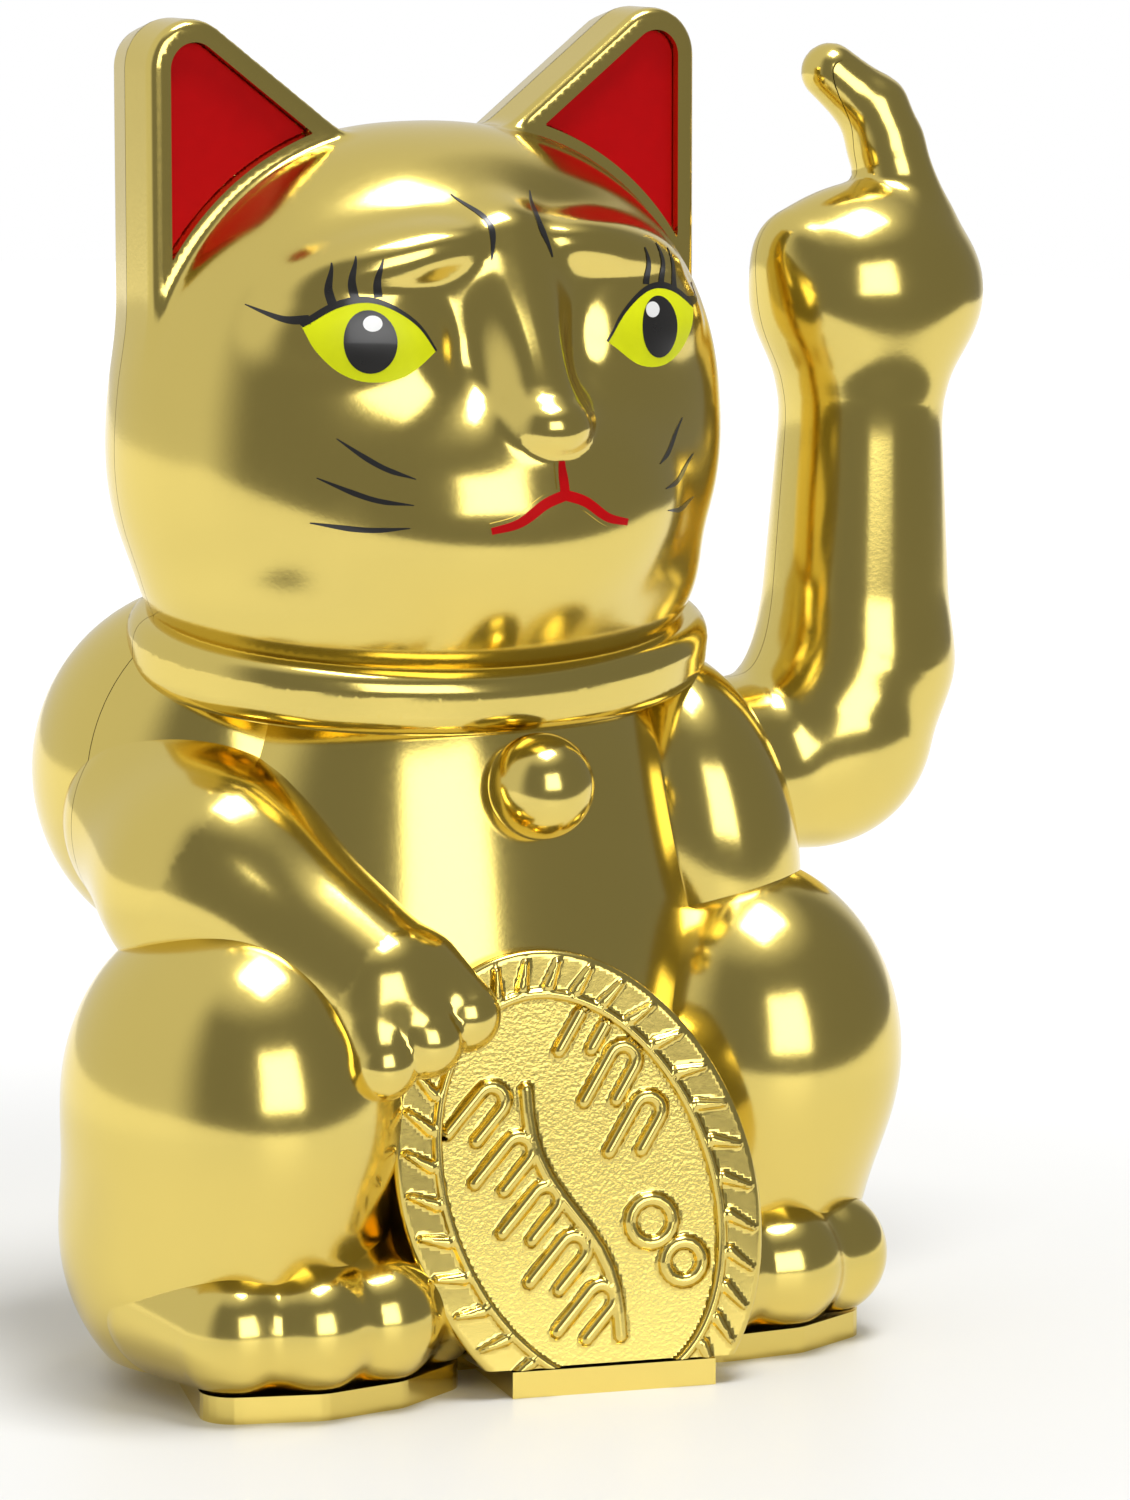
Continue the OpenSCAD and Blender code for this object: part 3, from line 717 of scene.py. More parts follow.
def enamel(name, colour, roughness=0.16, ripple_mm=0.02, shine=0.5, coat=0.4):
    """Brushed-on gloss paint, a little uneven in depth."""
    f = Finish(name)
    depth = f.noise(2.5, 3)
    return f.surface(
        Base_Color=f.mix(depth, shade(colour, 0.9), shade(colour, 1.06)),
        Roughness=roughness + f.noise(1.1, 2) * 0.08,
        Specular_IOR_Level=shine,
        Coat_Weight=coat,
        Coat_Roughness=0.06,
        Normal=f.bump(f.noise(3.5, 2), ripple_mm),
    )


def moulded(name, colour, roughness=0.5, gloss=0.0):
    """Moulded plastic with flow marks and a fine spark-eroded texture."""
    f = Finish(name)
    flow = f.noise(6, 3)
    texture = f.noise(0.35, 3)
    return f.surface(
        Base_Color=f.mix(flow, shade(colour, 0.93), shade(colour, 1.05)),
        Roughness=roughness + texture * 0.14,
        Coat_Weight=gloss,
        Normal=f.bump(texture, 0.01),
    )


def turned_metal(name, colour, roughness, along="X", pitch_mm=0.25):
    """Machined metal: fine rings along its axis, and dulled patches."""
    f = Finish(name)
    sockets = {"Vector": f.place(), "Scale": 1 / (pitch_mm * MM), "Distortion": 0.6, "Detail": 1.0}
    rings = f.node("ShaderNodeTexWave", {"wave_type": "BANDS", "bands_direction": along}, sockets, out="Fac")
    dull = f.noise(3, 4)
    return f.surface(
        Base_Color=f.mix(dull, shade(colour, 0.8), shade(colour, 1.05)),
        Metallic=1.0,
        Roughness=roughness + dull * 0.16,
        Normal=f.bump(rings, 0.004),
    )


def cast_metal(name, colour, roughness):
    """Die-cast metal: a grey skin with a fine crystalline grain."""
    f = Finish(name)
    cells = {"Vector": f.place(), "Scale": 1 / (0.7 * MM)}
    crystal = f.node("ShaderNodeTexVoronoi", {"feature": "F1"}, cells, out="Distance")
    return f.surface(
        Base_Color=f.mix(crystal, shade(colour, 1.05), shade(colour, 0.75)),
        Metallic=0.9,
        Roughness=roughness + crystal * 0.1,
        Normal=f.bump(f.noise(0.5, 3), 0.02),
    )


def circuit_laminate(name, colour):
    """Solder mask over copper tracks that run as a faint grid of lighter lines."""
    f = Finish(name)
    bricks = {"Vector": f.place(), "Scale": 1 / (5 * MM), "Mortar Size": 0.06}
    bricks.update({"Color1": shade(colour, 0.9), "Color2": shade(colour, 1.1), "Mortar": shade(colour, 1.9)})
    tracks = f.node("ShaderNodeTexBrick", {}, bricks, out="Color")
    return f.surface(Base_Color=tracks, Roughness=0.3 + f.noise(1, 2) * 0.1, Normal=f.bump(f.noise(0.6, 2), 0.006))


def wrapped_cell(name, colour, band):
    """A battery's printed wrap: two plain bands along its length, the second running over the nub end."""
    f = Finish(name)
    x = f.node("ShaderNodeSeparateXYZ", {}, {0: f.place()}, out="X")
    split = x.over(high("battery_cell").x * MM - 0.016, 0.0001)
    return f.surface(
        Base_Color=f.mix(split, rgba(colour), rgba(band)),
        Roughness=0.28 + f.noise(2, 2) * 0.1,
        Coat_Weight=0.3,
        Normal=f.bump(f.noise(4, 1), 0.01),
    )


def sleeved_wire(name, colour):
    """Soft insulation with a faint waviness."""
    f = Finish(name)
    return f.surface(
        Base_Color=f.mix(f.noise(4, 2), shade(colour, 0.85), shade(colour, 1.1)),
        Roughness=0.42 + f.noise(0.5, 2) * 0.1,
        Normal=f.bump(f.noise(1.2, 2), 0.02),
    )


# ---------------------------------------------------------------- sizes and colours a user may change
class CatForm(bpy.types.PropertyGroup):
    wall: bpy.props.FloatProperty(name="Wall", description="Thickness of the body shells, mm", default=2.0, min=1)
    arm_wall: bpy.props.FloatProperty(name="Arm wall", description="Thickness of the arm shells, mm", default=1.2)
    seam: bpy.props.FloatProperty(name="Seam", description="Half the gap between the shell halves, mm", default=0.05)
    paint_lift: bpy.props.FloatProperty(name="Paint lift", description="Height of a paint layer, mm", default=0.05)
    winding_wire: bpy.props.FloatProperty(name="Winding wire", description="Diameter of coil wire, mm", default=0.25)
    spring_turns: bpy.props.FloatProperty(name="Spring turns", description="Turns of the cell spring", default=5.0)


class CatColours(bpy.types.PropertyGroup):
    gold: bpy.props.FloatVectorProperty(
        name="Gold", description="Plating", subtype="COLOR", default=(0.78, 0.615, 0.17), min=0, max=1
    )
    red: bpy.props.FloatVectorProperty(
        name="Red", description="Ear and mouth enamel", subtype="COLOR", default=(0.56, 0.001, 0.003), min=0, max=1
    )
    yellow: bpy.props.FloatVectorProperty(
        name="Yellow", description="Iris enamel", subtype="COLOR", default=(0.78, 0.84, 0.008), min=0, max=1
    )
    black: bpy.props.FloatVectorProperty(
        name="Black", description="Line and pupil paint", subtype="COLOR", default=(0.012, 0.011, 0.01), min=0, max=1
    )


class CatStudio(bpy.types.PropertyGroup):
    azimuth: bpy.props.FloatProperty(name="Azimuth", description="Degrees round from the front", default=-31.0)
    elevation: bpy.props.FloatProperty(name="Elevation", description="Degrees above level", default=8.5)
    distance: bpy.props.FloatProperty(name="Distance", description="Camera to target", default=0.8, unit="LENGTH")
    lens: bpy.props.FloatProperty(name="Lens", description="Focal length, mm", default=167.04)
    room: bpy.props.FloatProperty(name="Room", description="Brightness of the dim side of the studio", default=0.22)
    window: bpy.props.FloatProperty(name="Softbox", description="Brightness of the front softbox", default=3.2)


# ---------------------------------------------------------------- operators
class CAT_OT_figure(bpy.types.Operator):
    """Moulds the hollow figure from its lumps and parts it into front and back shells"""

    bl_idname = "cat.figure"
    bl_label = "Figure shells"

    def execute(self, context):
        form = context.scene.cat_form
        solids = [lump_solid(lump, tag) for tag, lump in enumerate(FIGURE)]
        body = joined(solids[0], "UNION", *solids[1:])
        inner = len(FIGURE)
        screws = screw_places()

        def hollow(p):
            d = np.inf
            for lump in FIGURE:
                if lump.field not in (coin, collar, bell):
                    d = np.minimum(d, lump.field(p))
            d = np.maximum(d + form.wall, -rod(p, SOCKET_FLOOR - CUP_WALL, BIG, SOCKET_R + CUP_WALL))
            for x, y in screws:
                boss = np.maximum(np.hypot(p[0] - x, p[1] - y) - BOSS_R, p[2] - BOSS_TOP)
                d = np.maximum(d, -boss)
            return d

        cavity = lump_solid(Lump(hollow, (-53, -42, -10), (53, 30, 154), 1.5), inner)
        pits = lump_solid(Lump(ear_cut, (-36, -9, 122), (36, -4, 152), 0.35), inner + 3)
        socket = drum((SOCKET_FLOOR, 0, AXIS_Z), (BIG, 0, AXIS_Z), SOCKET_R, inner + 1)
        bore = drum((SOCKET_FLOOR - 9, 0, AXIS_Z), (BIG, 0, AXIS_Z), HUB_R + 0.5, inner + 2)
        holes = [drum((x, y, -9), (x, y, BOSS_TOP - 4), SCREW_R, FLAT, 24) for x, y in screws]
        joined(body, "DIFFERENCE", cavity, socket, bore, pits, *holes)
        fields = {tag: (lump.field, 1) for tag, lump in enumerate(FIGURE)}
        fields[inner] = (hollow, -1)
        fields[inner + 1] = (lambda p: rod(p, SOCKET_FLOOR, BIG, SOCKET_R), -1)
        fields[inner + 2] = (lambda p: rod(p, SOCKET_FLOOR - 9, BIG, HUB_R + 0.5), -1)
        fields[inner + 3] = (ear_cut, -1)
        halves = {
            "front": half_of(body, "front_shell_plated", (-BIG, -BIG, SHELL_Z), (BIG, -form.seam, BIG)),
            "back": half_of(body, "back_shell_plated", (-BIG, form.seam, SHELL_Z), (BIG, BIG, BIG)),
        }
        bpy.data.objects.remove(body)
        for side, piece in halves.items():
            set_normals(piece.data, fields)
            piece.data.materials.clear()
            piece.data.materials.append(bpy.data.materials["plated_gold"])
            piece.data.materials.append(bpy.data.materials["grained_gold"])
            grain_panel(piece.data)
            finish_piece(piece, "figure", (side + "_shell",))
        return {"FINISHED"}


def screw_places():
    """Centres of the four screws that hold the base, from the frame."""
    spots = np.array([v.co for v in frame["nodes"]["base_screws"].data.vertices]) / MM
    places = []
    for right in (False, True):
        for rear in (False, True):
            mine = spots[((spots[:, 0] > 0) == right) & ((spots[:, 1] > 0) == rear)]
            middle = (mine.min(0) + mine.max(0)) / 2
            places.append((float(middle[0]), float(middle[1])))
    return places


def grain_panel(mesh):
    """Gives the sunk panel of the coin its own coarser plating."""
    centres = np.empty(len(mesh.polygons) * 3)
    mesh.polygons.foreach_get("center", centres)
    local = (centres.reshape(-1, 3) - np.array(COIN_FOOT)) @ COIN_AXES.T
    edge, a, b = coin_plan(local[:, 0], local[:, 1])
    grained = (edge < -RIM_IN - RIM_R) & (local[:, 2] < -PANEL_DEEP + 0.08) & (local[:, 2] > -PANEL_DEEP - 0.3)
    mesh.polygons.foreach_set("material_index", grained.astype(np.int32))


class CAT_OT_arm(bpy.types.Operator):
    """Moulds the raised arm in two hollow halves"""

    bl_idname = "cat.arm"
    bl_label = "Raised arm"

    def execute(self, context):
        form = context.scene.cat_form
        arm = lump_solid(ARM, 0)
        root_plate = 2.4

        def hollow(p):
            return np.maximum(waving_arm(p) + form.arm_wall, ARM_ROOT + root_plate - p[0])

        cavity = lump_solid(Lump(hollow, (38, -15, 49), (80, 15, 150), 1.1), 1)
        bore = drum((ARM_ROOT - 20, 0, AXIS_Z), (HUB_END, 0, AXIS_Z), HUB_R + 0.05, 2)
        joined(arm, "DIFFERENCE", cavity, bore)
        fields = {
            0: (waving_arm, 1),
            1: (hollow, -1),
            2: (lambda p: rod(p, ARM_ROOT - 20, HUB_END, HUB_R + 0.05), -1),
        }
        halves = {
            "front": half_of(arm, "arm_front_plated", (ARM_ROOT, -BIG, -BIG), (BIG, -form.seam, BIG)),
            "back": half_of(arm, "arm_back_plated", (ARM_ROOT, form.seam, -BIG), (BIG, BIG, BIG)),
        }
        bpy.data.objects.remove(arm)
        screw_low, screw_high = low("arm_screw"), high("arm_screw")
        x, z = ((screw_low[i] + screw_high[i]) / 2 for i in (0, 2))
        well = drum((x, 5, z), (x, BIG, z), 2.1, FLAT, 32)
        joined(halves["back"], "DIFFERENCE", well)
        for side, piece in halves.items():
            set_normals(piece.data, fields)
            piece.data.materials.clear()
            piece.data.materials.append(bpy.data.materials["plated_gold"])
            finish_piece(piece, "waving_arm", (f"arm_{side}_shell",))
        return {"FINISHED"}


# ---------------------------------------------------------------- the painted face
def on_face(spots):
    """Points of the head's front, straight behind places (x, z) on a plane in front of it."""
    x, z = np.asarray(spots, float).T
    y = np.full(len(x), -44.0)
    for _ in range(80):
        y = y + head((x, y, z)) * 0.7
    return np.stack([x, y, z], 1)


def smooth_path(points, count):
    """A smooth path through a few (x, z) points, as count places."""
    points = np.array(points, float)
    ends = np.concatenate([[2 * points[0] - points[1]], points, [2 * points[-1] - points[-2]]])
    places = np.linspace(0, len(points) - 1, count)
    out = []
    for place in places:
        i = min(int(place), len(points) - 2)
        t = place - i
        a, b, c, d = ends[i : i + 4]
        out.append((2 * b + (c - a) * t + (2 * a - 5 * b + 4 * c - d) * t * t + (3 * b - a - 3 * c + d) * t**3) / 2)
    return np.array(out)


def stroke_rows(points, widths, count=24, across=4):
    """Rows of places across a brush stroke whose width follows widths along it."""
    path = smooth_path(points, count)
    along = units(np.gradient(path, axis=0))
    side = np.stack([-along[:, 1], along[:, 0]], 1)
    share = np.linspace(0, 1, count)
    half = np.interp(share, np.linspace(0, 1, len(widths)), widths) / 2
    steps = np.linspace(-1, 1, across + 1)
    return path[:, None] + side[:, None] * half[:, None, None] * steps[None, :, None]


def disc_rows(outline, rings=7):
    """Rows of places from the middle of a closed outline out to its edge."""
    outline = np.asarray(outline, float)
    middle = outline.mean(0)
    shares = np.linspace(0, 1, rings + 1)[:, None, None]
    return middle + (outline - middle)[None] * np.maximum(shares, 1e-4)


def paint(name, colour, patches, lift, closed=False):
    """A thin film of paint on the head, one closed mesh for all its patches."""
    points, faces, count = [], [], 0
    for rows in patches:
        m, n = rows.shape[:2]
        under = on_face(rows.reshape(-1, 2))
        out = units(gradient(head, under))
        points += [under + out * lift, under - out * 0.25]
        wrap = n if closed else n - 1
        top = count + np.arange(m * n).reshape(m, n)
        for i in range(m - 1):
            for j in range(wrap):
                k = (j + 1) % n
                quad = [top[i, j], top[i, k], top[i + 1, k], top[i + 1, j]]
                faces += [quad, [q + m * n for q in quad[::-1]]]
        edge = [(top[m - 1, j], top[m - 1, (j + 1) % n]) for j in range(wrap)]
        if not closed:
            edge += [(top[0, j + 1], top[0, j]) for j in range(n - 1)]
            edge += [(top[i, 0], top[i + 1, 0]) for i in range(m - 1)]
            edge += [(top[i + 1, n - 1], top[i, n - 1]) for i in range(m - 1)]
        faces += [[a, b, b + m * n, a + m * n] for a, b in edge]
        count += 2 * m * n
    points = np.concatenate(points)
    film = solid(name, points, faces, FLAT)
    work = bmesh.new()
    work.from_mesh(film.data)
    bmesh.ops.remove_doubles(work, verts=work.verts, dist=0.004)
    bmesh.ops.dissolve_degenerate(work, edges=work.edges, dist=0.002)
    bmesh.ops.recalc_face_normals(work, faces=work.faces)
    work.to_mesh(film.data)
    work.free()
    film.data.attributes["lump"].data.foreach_set("value", np.zeros(len(film.data.polygons), np.int32))
    set_normals(film.data, {0: (head, 1)}, bend=0.8)
    film.data.materials.append(bpy.data.materials[colour])
    finish_piece(film, "figure")
    return film


def both(points):
    """A path on the cat's left side, and its mirror image on the right."""
    return [points, [(-x, z) for x, z in points]]


def ellipse_path(middle, half, turn=0.0, count=40):
    c, s = cos(radians(turn)), sin(radians(turn))
    angles = [2 * pi * k / count for k in range(count)]
    around = [(half[0] * cos(a), half[1] * sin(a)) for a in angles]
    return [(middle[0] + u * c - v * s, middle[1] + u * s + v * c) for u, v in around]


EYE_LIDS = [(-11.0, 115.9), (-13.2, 118.9), (-16.2, 121.0), (-19.0, 121.7), (-22.0, 121.0), (-25.3, 119.0)]
EYE_UNDER = [(-25.3, 119.0), (-24.2, 116.3), (-21.8, 113.8), (-18.8, 112.7), (-15.0, 113.2), (-11.0, 115.9)]
PUPIL = (-18.6, 117.1)
LASHES = [
    [(22.0, 121.2), (22.2, 123.2), (21.6, 125.7)],
    [(19.7, 121.9), (20.0, 124.0), (19.3, 126.4)],
    [(17.2, 121.9), (17.4, 124.0), (16.8, 126.1)],
    [(24.4, 119.6), (26.6, 119.6), (28.9, 121.0)],
]
BROWS = [[(5.1, 132.5), (3.2, 129.6), (3.9, 125.6)]]
WHISKERS = [
    [(15.7, 102.3), (18.6, 103.6), (22.3, 106.6)],
    [(16.2, 99.5), (19.8, 100.1), (24.3, 102.3)],
    [(16.6, 97.0), (20.4, 96.7), (24.8, 97.3)],
]
MOUTH_BARS = [
    [(0.0, 103.9), (0.0, 102.0), (0.0, 99.6)],
    [(-8.7, 96.6), (-5.6, 97.4), (-2.6, 99.3), (0.0, 100.2)],
    [(8.7, 96.6), (5.6, 97.4), (2.6, 99.3), (0.0, 100.2)],
]


class CAT_OT_face(bpy.types.Operator):
    """Paints the eyes, lashes, brows, whiskers and mouth on the head"""

    bl_idname = "cat.face"
    bl_label = "Painted face"

    def execute(self, context):
        lift = context.scene.cat_form.paint_lift
        upper, under = smooth_path(EYE_LIDS, 26), smooth_path(EYE_UNDER, 26)
        eye = np.concatenate([upper[:-1], under[:-1]])
        flip = np.array([-1, 1])
        paint("eye_enamel", "eye_yellow", [disc_rows(eye), disc_rows(eye * flip)], lift, closed=True)
        pupil = np.array(ellipse_path(PUPIL, (2.85, 3.45)))
        paint("pupils", "line_black", [disc_rows(pupil, 5), disc_rows(pupil * flip, 5)], 2 * lift, closed=True)
        glints = [disc_rows(ellipse_path((x, 119.1), (1.05, 0.85), 10, 24), 3) for x in (-18.3, 17.5)]
        paint("eye_glints", "glint_white", glints, 3 * lift, closed=True)
        fine = (0.95, 0.85, 0.55, 0.12)
        strokes = [(path, fine) for path in LASHES]
        strokes += [(path, (0.12, 0.6, 0.75, 0.15)) for path in BROWS]
        strokes += [(path, (0.1, 0.55, 0.6, 0.12)) for path in WHISKERS]
        rows = [stroke_rows(side, widths) for path, widths in strokes for side in both(path)]
        lids = [stroke_rows(side, (0.25, 0.5, 0.75, 0.6)) for side in both([(-x, z) for x, z in EYE_LIDS])]
        paint("painted_lines", "line_black", rows + lids, 1.5 * lift)
        rims = [stroke_rows(bar, (1.75, 1.9, 1.9)) for bar in MOUTH_BARS]
        paint("mouth_rim", "plated_gold", rims, 2.4 * lift)
        bars = [stroke_rows(bar, (0.75, 1.15, 1.2)) for bar in MOUTH_BARS]
        paint("mouth_enamel", "enamel_red", bars, 3.4 * lift)
        return {"FINISHED"}


class CAT_OT_ears(bpy.types.Operator):
    """Fills the sunk panels of the ears with red enamel"""

    bl_idname = "cat.ears"
    bl_label = "Ear enamel"

    def execute(self, context):
        def plate(p):
            return ear_panel(p, 0.08, PIT_FLOOR - 0.35, PIT_FLOOR + 0.3)

        enamel_solid = lump_solid(Lump(plate, (-36, -6.5, 122), (36, -3.5, 152), 0.3), 0)
        enamel_solid.name = enamel_solid.data.name = "ear_enamel"
        set_normals(enamel_solid.data, {0: (plate, 1)})
        enamel_solid.data.materials.append(bpy.data.materials["enamel_red"])
        finish_piece(enamel_solid, "figure")
        return {"FINISHED"}


# ---------------------------------------------------------------- wound and coiled parts
class Tree:
    """A geometry node tree with named inputs, ending in Realize Instances and Set Material."""

    def __init__(self, name, inputs):
        self.tree = bpy.data.node_groups.new(name, "GeometryNodeTree")
        face = self.tree.interface
        face.new_socket("Geometry", in_out="OUTPUT", socket_type="NodeSocketGeometry")
        kinds = {float: "NodeSocketFloat", int: "NodeSocketInt"}
        self.values = dict(inputs)
        self.ids = {}
        for key, value in inputs.items():
            kind = kinds.get(type(value), "NodeSocketMaterial")
            self.ids[key] = face.new_socket(key, in_out="INPUT", socket_type=kind).identifier
        self.given = self.tree.nodes.new("NodeGroupInput")

    def value(self, key):
        return self.given.outputs[key]

    def node(self, kind, settings=None, sockets=None, out=0):
        node = self.tree.nodes.new(kind)
        for key, value in (settings or {}).items():
            setattr(node, key, value)
        for key, value in (sockets or {}).items():
            if isinstance(value, bpy.types.NodeSocket):
                self.tree.links.new(value, node.inputs[key])
            else:
                node.inputs[key].default_value = value
        return node.outputs[out]

    def maths(self, operation, a, b):
        return self.node("ShaderNodeMath", {"operation": operation}, {0: a, 1: b})

    def build(self, name, geometry, body, material, replaced):
        """Runs the tree and hands its plain mesh to the frame."""
        real = self.node("GeometryNodeRealizeInstances", {}, {0: geometry})
        coated = self.node("GeometryNodeSetMaterial", {}, {"Geometry": real, "Material": self.value("Material")})
        result = self.tree.nodes.new("NodeGroupOutput")
        self.tree.links.new(coated, result.inputs[0])
        piece = bpy.data.objects.new(name, bpy.data.meshes.new(name))
        bpy.context.scene.collection.objects.link(piece)
        made = piece.modifiers.new(name, "NODES")
        made.node_group = self.tree
        for key, identifier in self.ids.items():
            made[identifier] = material if key == "Material" else self.values[key]
        settle(piece)
        piece.data.name = name
        if not piece.data.materials:
            piece.data.materials.append(material)
        finish_piece(piece, body, replaced)
        return piece


class CAT_OT_winding(bpy.types.Operator):
    """Winds the drive coil turn by turn on its bobbin"""

    bl_idname = "cat.winding"
    bl_label = "Coil winding"

    def execute(self, context):
        wire = context.scene.cat_form.winding_wire
        lo, hi = low("coil_winding"), high("coil_winding")
        middle = (lo + hi) / 2
        outer = (hi.x - lo.x) / 2
        inner = (high("coil_bobbin").z - low("coil_bobbin").z) / 2 + 0.55
        material = bpy.data.materials["copper_wire"]
        turns = int((hi.z - lo.z) / wire)
        layers = int((outer - inner) / wire)
        inputs = {"Turns": turns, "Layers": layers, "Wire": wire, "Radius": outer - wire / 2, "Foot": lo.z + wire / 2}
        tree = Tree("coil_winding", {**inputs, "Material": material})
        count = tree.maths("MULTIPLY", tree.value("Turns"), 2.0)
        line = tree.node("GeometryNodeMeshLine", {}, {"Count": count, "Offset": (0, 0, 0)})
        index = tree.node("GeometryNodeInputIndex")
        layer = tree.maths("FLOOR", tree.maths("DIVIDE", index, tree.value("Turns")), 0.0)
        turn = tree.maths("MODULO", index, tree.value("Turns"))
        height = tree.maths("ADD", tree.value("Foot"), tree.maths("MULTIPLY", turn, tree.value("Wire")))
        place = tree.node("ShaderNodeCombineXYZ", {}, {"X": middle.x, "Y": middle.y, "Z": height})
        rows = tree.node("GeometryNodeSetPosition", {}, {"Geometry": line, "Position": place})
        step = tree.maths("MULTIPLY", layer, tree.value("Wire"))
        radius = tree.maths("SUBTRACT", tree.value("Radius"), step)
        loop = tree.node("GeometryNodeCurvePrimitiveCircle", {}, {"Resolution": 40, "Radius": 1.0})
        grown = tree.node("ShaderNodeCombineXYZ", {}, {"X": radius, "Y": radius, "Z": 1.0})
        loops = tree.node(
            "GeometryNodeInstanceOnPoints", {}, {"Points": rows, "Instance": loop, "Scale": grown}
        )
        curves = tree.node("GeometryNodeRealizeInstances", {}, {0: loops})
        half_wire = tree.maths("MULTIPLY", tree.value("Wire"), 0.49)
        profile = tree.node("GeometryNodeCurvePrimitiveCircle", {}, {"Resolution": 6, "Radius": half_wire})
        tubes = tree.node("GeometryNodeCurveToMesh", {}, {"Curve": curves, "Profile Curve": profile})
        tree.build("coil_turns", tubes, "figure", material, ("coil_winding",))
        return {"FINISHED"}


class CAT_OT_spring(bpy.types.Operator):
    """Coils the tapered spring that presses on the cell"""

    bl_idname = "cat.spring"
    bl_label = "Contact spring"

    def execute(self, context):
        lo, hi = low("contact_spring"), high("contact_spring")
        middle = (lo + hi) / 2
        material = bpy.data.materials["spring_steel"]
        inputs = {
            "Turns": context.scene.cat_form.spring_turns,
            "Start": 5.0,
            "End": 3.0,
            "Length": hi.x - lo.x - 1.2,
            "Wire": 0.8,
        }
        tree = Tree("contact_spring", {**inputs, "Material": material})
        coil = tree.node(
            "GeometryNodeCurveSpiral",
            {},
            {
                "Resolution": 32,
                "Rotations": tree.value("Turns"),
                "Start Radius": tree.value("Start"),
                "End Radius": tree.value("End"),
                "Height": tree.value("Length"),
            },
        )
        radius = tree.maths("MULTIPLY", tree.value("Wire"), 0.5)
        profile = tree.node("GeometryNodeCurvePrimitiveCircle", {}, {"Resolution": 10, "Radius": radius})
        tube = tree.node(
            "GeometryNodeCurveToMesh", {}, {"Curve": coil, "Profile Curve": profile, "Fill Caps": True}
        )
        leaf = tree.node("GeometryNodeMeshCube", {}, {"Size": (12.0, 12.0, 0.4)})
        parts = tree.tree.nodes.new("GeometryNodeJoinGeometry")
        for part in (tube, leaf):
            tree.tree.links.new(part, parts.inputs[0])
        laid = tree.node(
            "GeometryNodeTransform",
            {},
            {
                "Geometry": parts.outputs[0],
                "Translation": (lo.x + 0.25, middle.y, middle.z),
                "Rotation": (0, pi / 2, 0),
            },
        )
        tree.build("cell_spring", laid, "figure", material, ("contact_spring",))
        return {"FINISHED"}


# ---------------------------------------------------------------- finishes on the frame's own parts
NODE_FINISH = {
    "plated_gold": ("base_plate", "battery_door"),
    "natural_plastic": ("movement_frame", "pendulum_lever", "coil_bobbin", "arm_hub"),
    "black_plastic": ("switch_body", "board_components"),
    "white_plastic": ("switch_slider",),
    "cell_jacket": ("battery_cell",),
    "spring_steel": ("contact_plate", "axle_clip"),
    "bright_steel": ("axle", "frame_screws", "base_screws", "arm_screw"),
    "cast_zinc": ("counterweight",),
    "magnet_grey": ("drive_magnet",),
    "bronze": ("bearing_bushes",),
    "board_green": ("circuit_board",),
    "red_sleeve": ("lead_red",),
    "black_sleeve": ("lead_black",),
}


class CAT_OT_finishes(bpy.types.Operator):
    """Mixes every finish and gives the frame's own parts theirs"""

    bl_idname = "cat.finishes"
    bl_label = "Finishes"

    def execute(self, context):
        colours = context.scene.cat_colours
        plated_gold("plated_gold", colours.gold, 0.45, 0.0035, 0.13)
        plated_gold("grained_gold", colours.gold, 0.4, 0.03, 0.2)
        enamel("enamel_red", colours.red, 0.4, shine=0.12, coat=0.0)
        enamel("eye_yellow", colours.yellow, 0.3, shine=0.2, coat=0.0)
        enamel("line_black", colours.black, 0.25)
        enamel("glint_white", (0.9, 0.9, 0.88))
        moulded("natural_plastic", (0.72, 0.69, 0.6))
        moulded("black_plastic", (0.02, 0.02, 0.022), 0.4, 0.2)
        moulded("white_plastic", (0.8, 0.8, 0.78), 0.35, 0.2)
        wrapped_cell("cell_jacket", (0.03, 0.03, 0.035), (0.6, 0.42, 0.12))
        turned_metal("spring_steel", (0.62, 0.61, 0.58), 0.22)
        turned_metal("bright_steel", (0.7, 0.7, 0.69), 0.16)
        turned_metal("bronze", (0.68, 0.43, 0.18), 0.25)
        turned_metal("copper_wire", (0.72, 0.28, 0.11), 0.2, "Z", 0.5)
        cast_metal("cast_zinc", (0.5, 0.51, 0.52), 0.38)
        cast_metal("magnet_grey", (0.28, 0.28, 0.3), 0.3)
        circuit_laminate("board_green", (0.02, 0.12, 0.035))
        sleeved_wire("red_sleeve", (0.55, 0.02, 0.015))
        sleeved_wire("black_sleeve", (0.02, 0.02, 0.02))
        for material, nodes in NODE_FINISH.items():
            for node in nodes:
                mesh = frame["nodes"][node].data
                mesh.materials.clear()
                mesh.materials.append(bpy.data.materials[material])
        return {"FINISHED"}


# ---------------------------------------------------------------- stage
TARGET = (0.0158, -0.0095, 0.0673)
PALE = 0.72


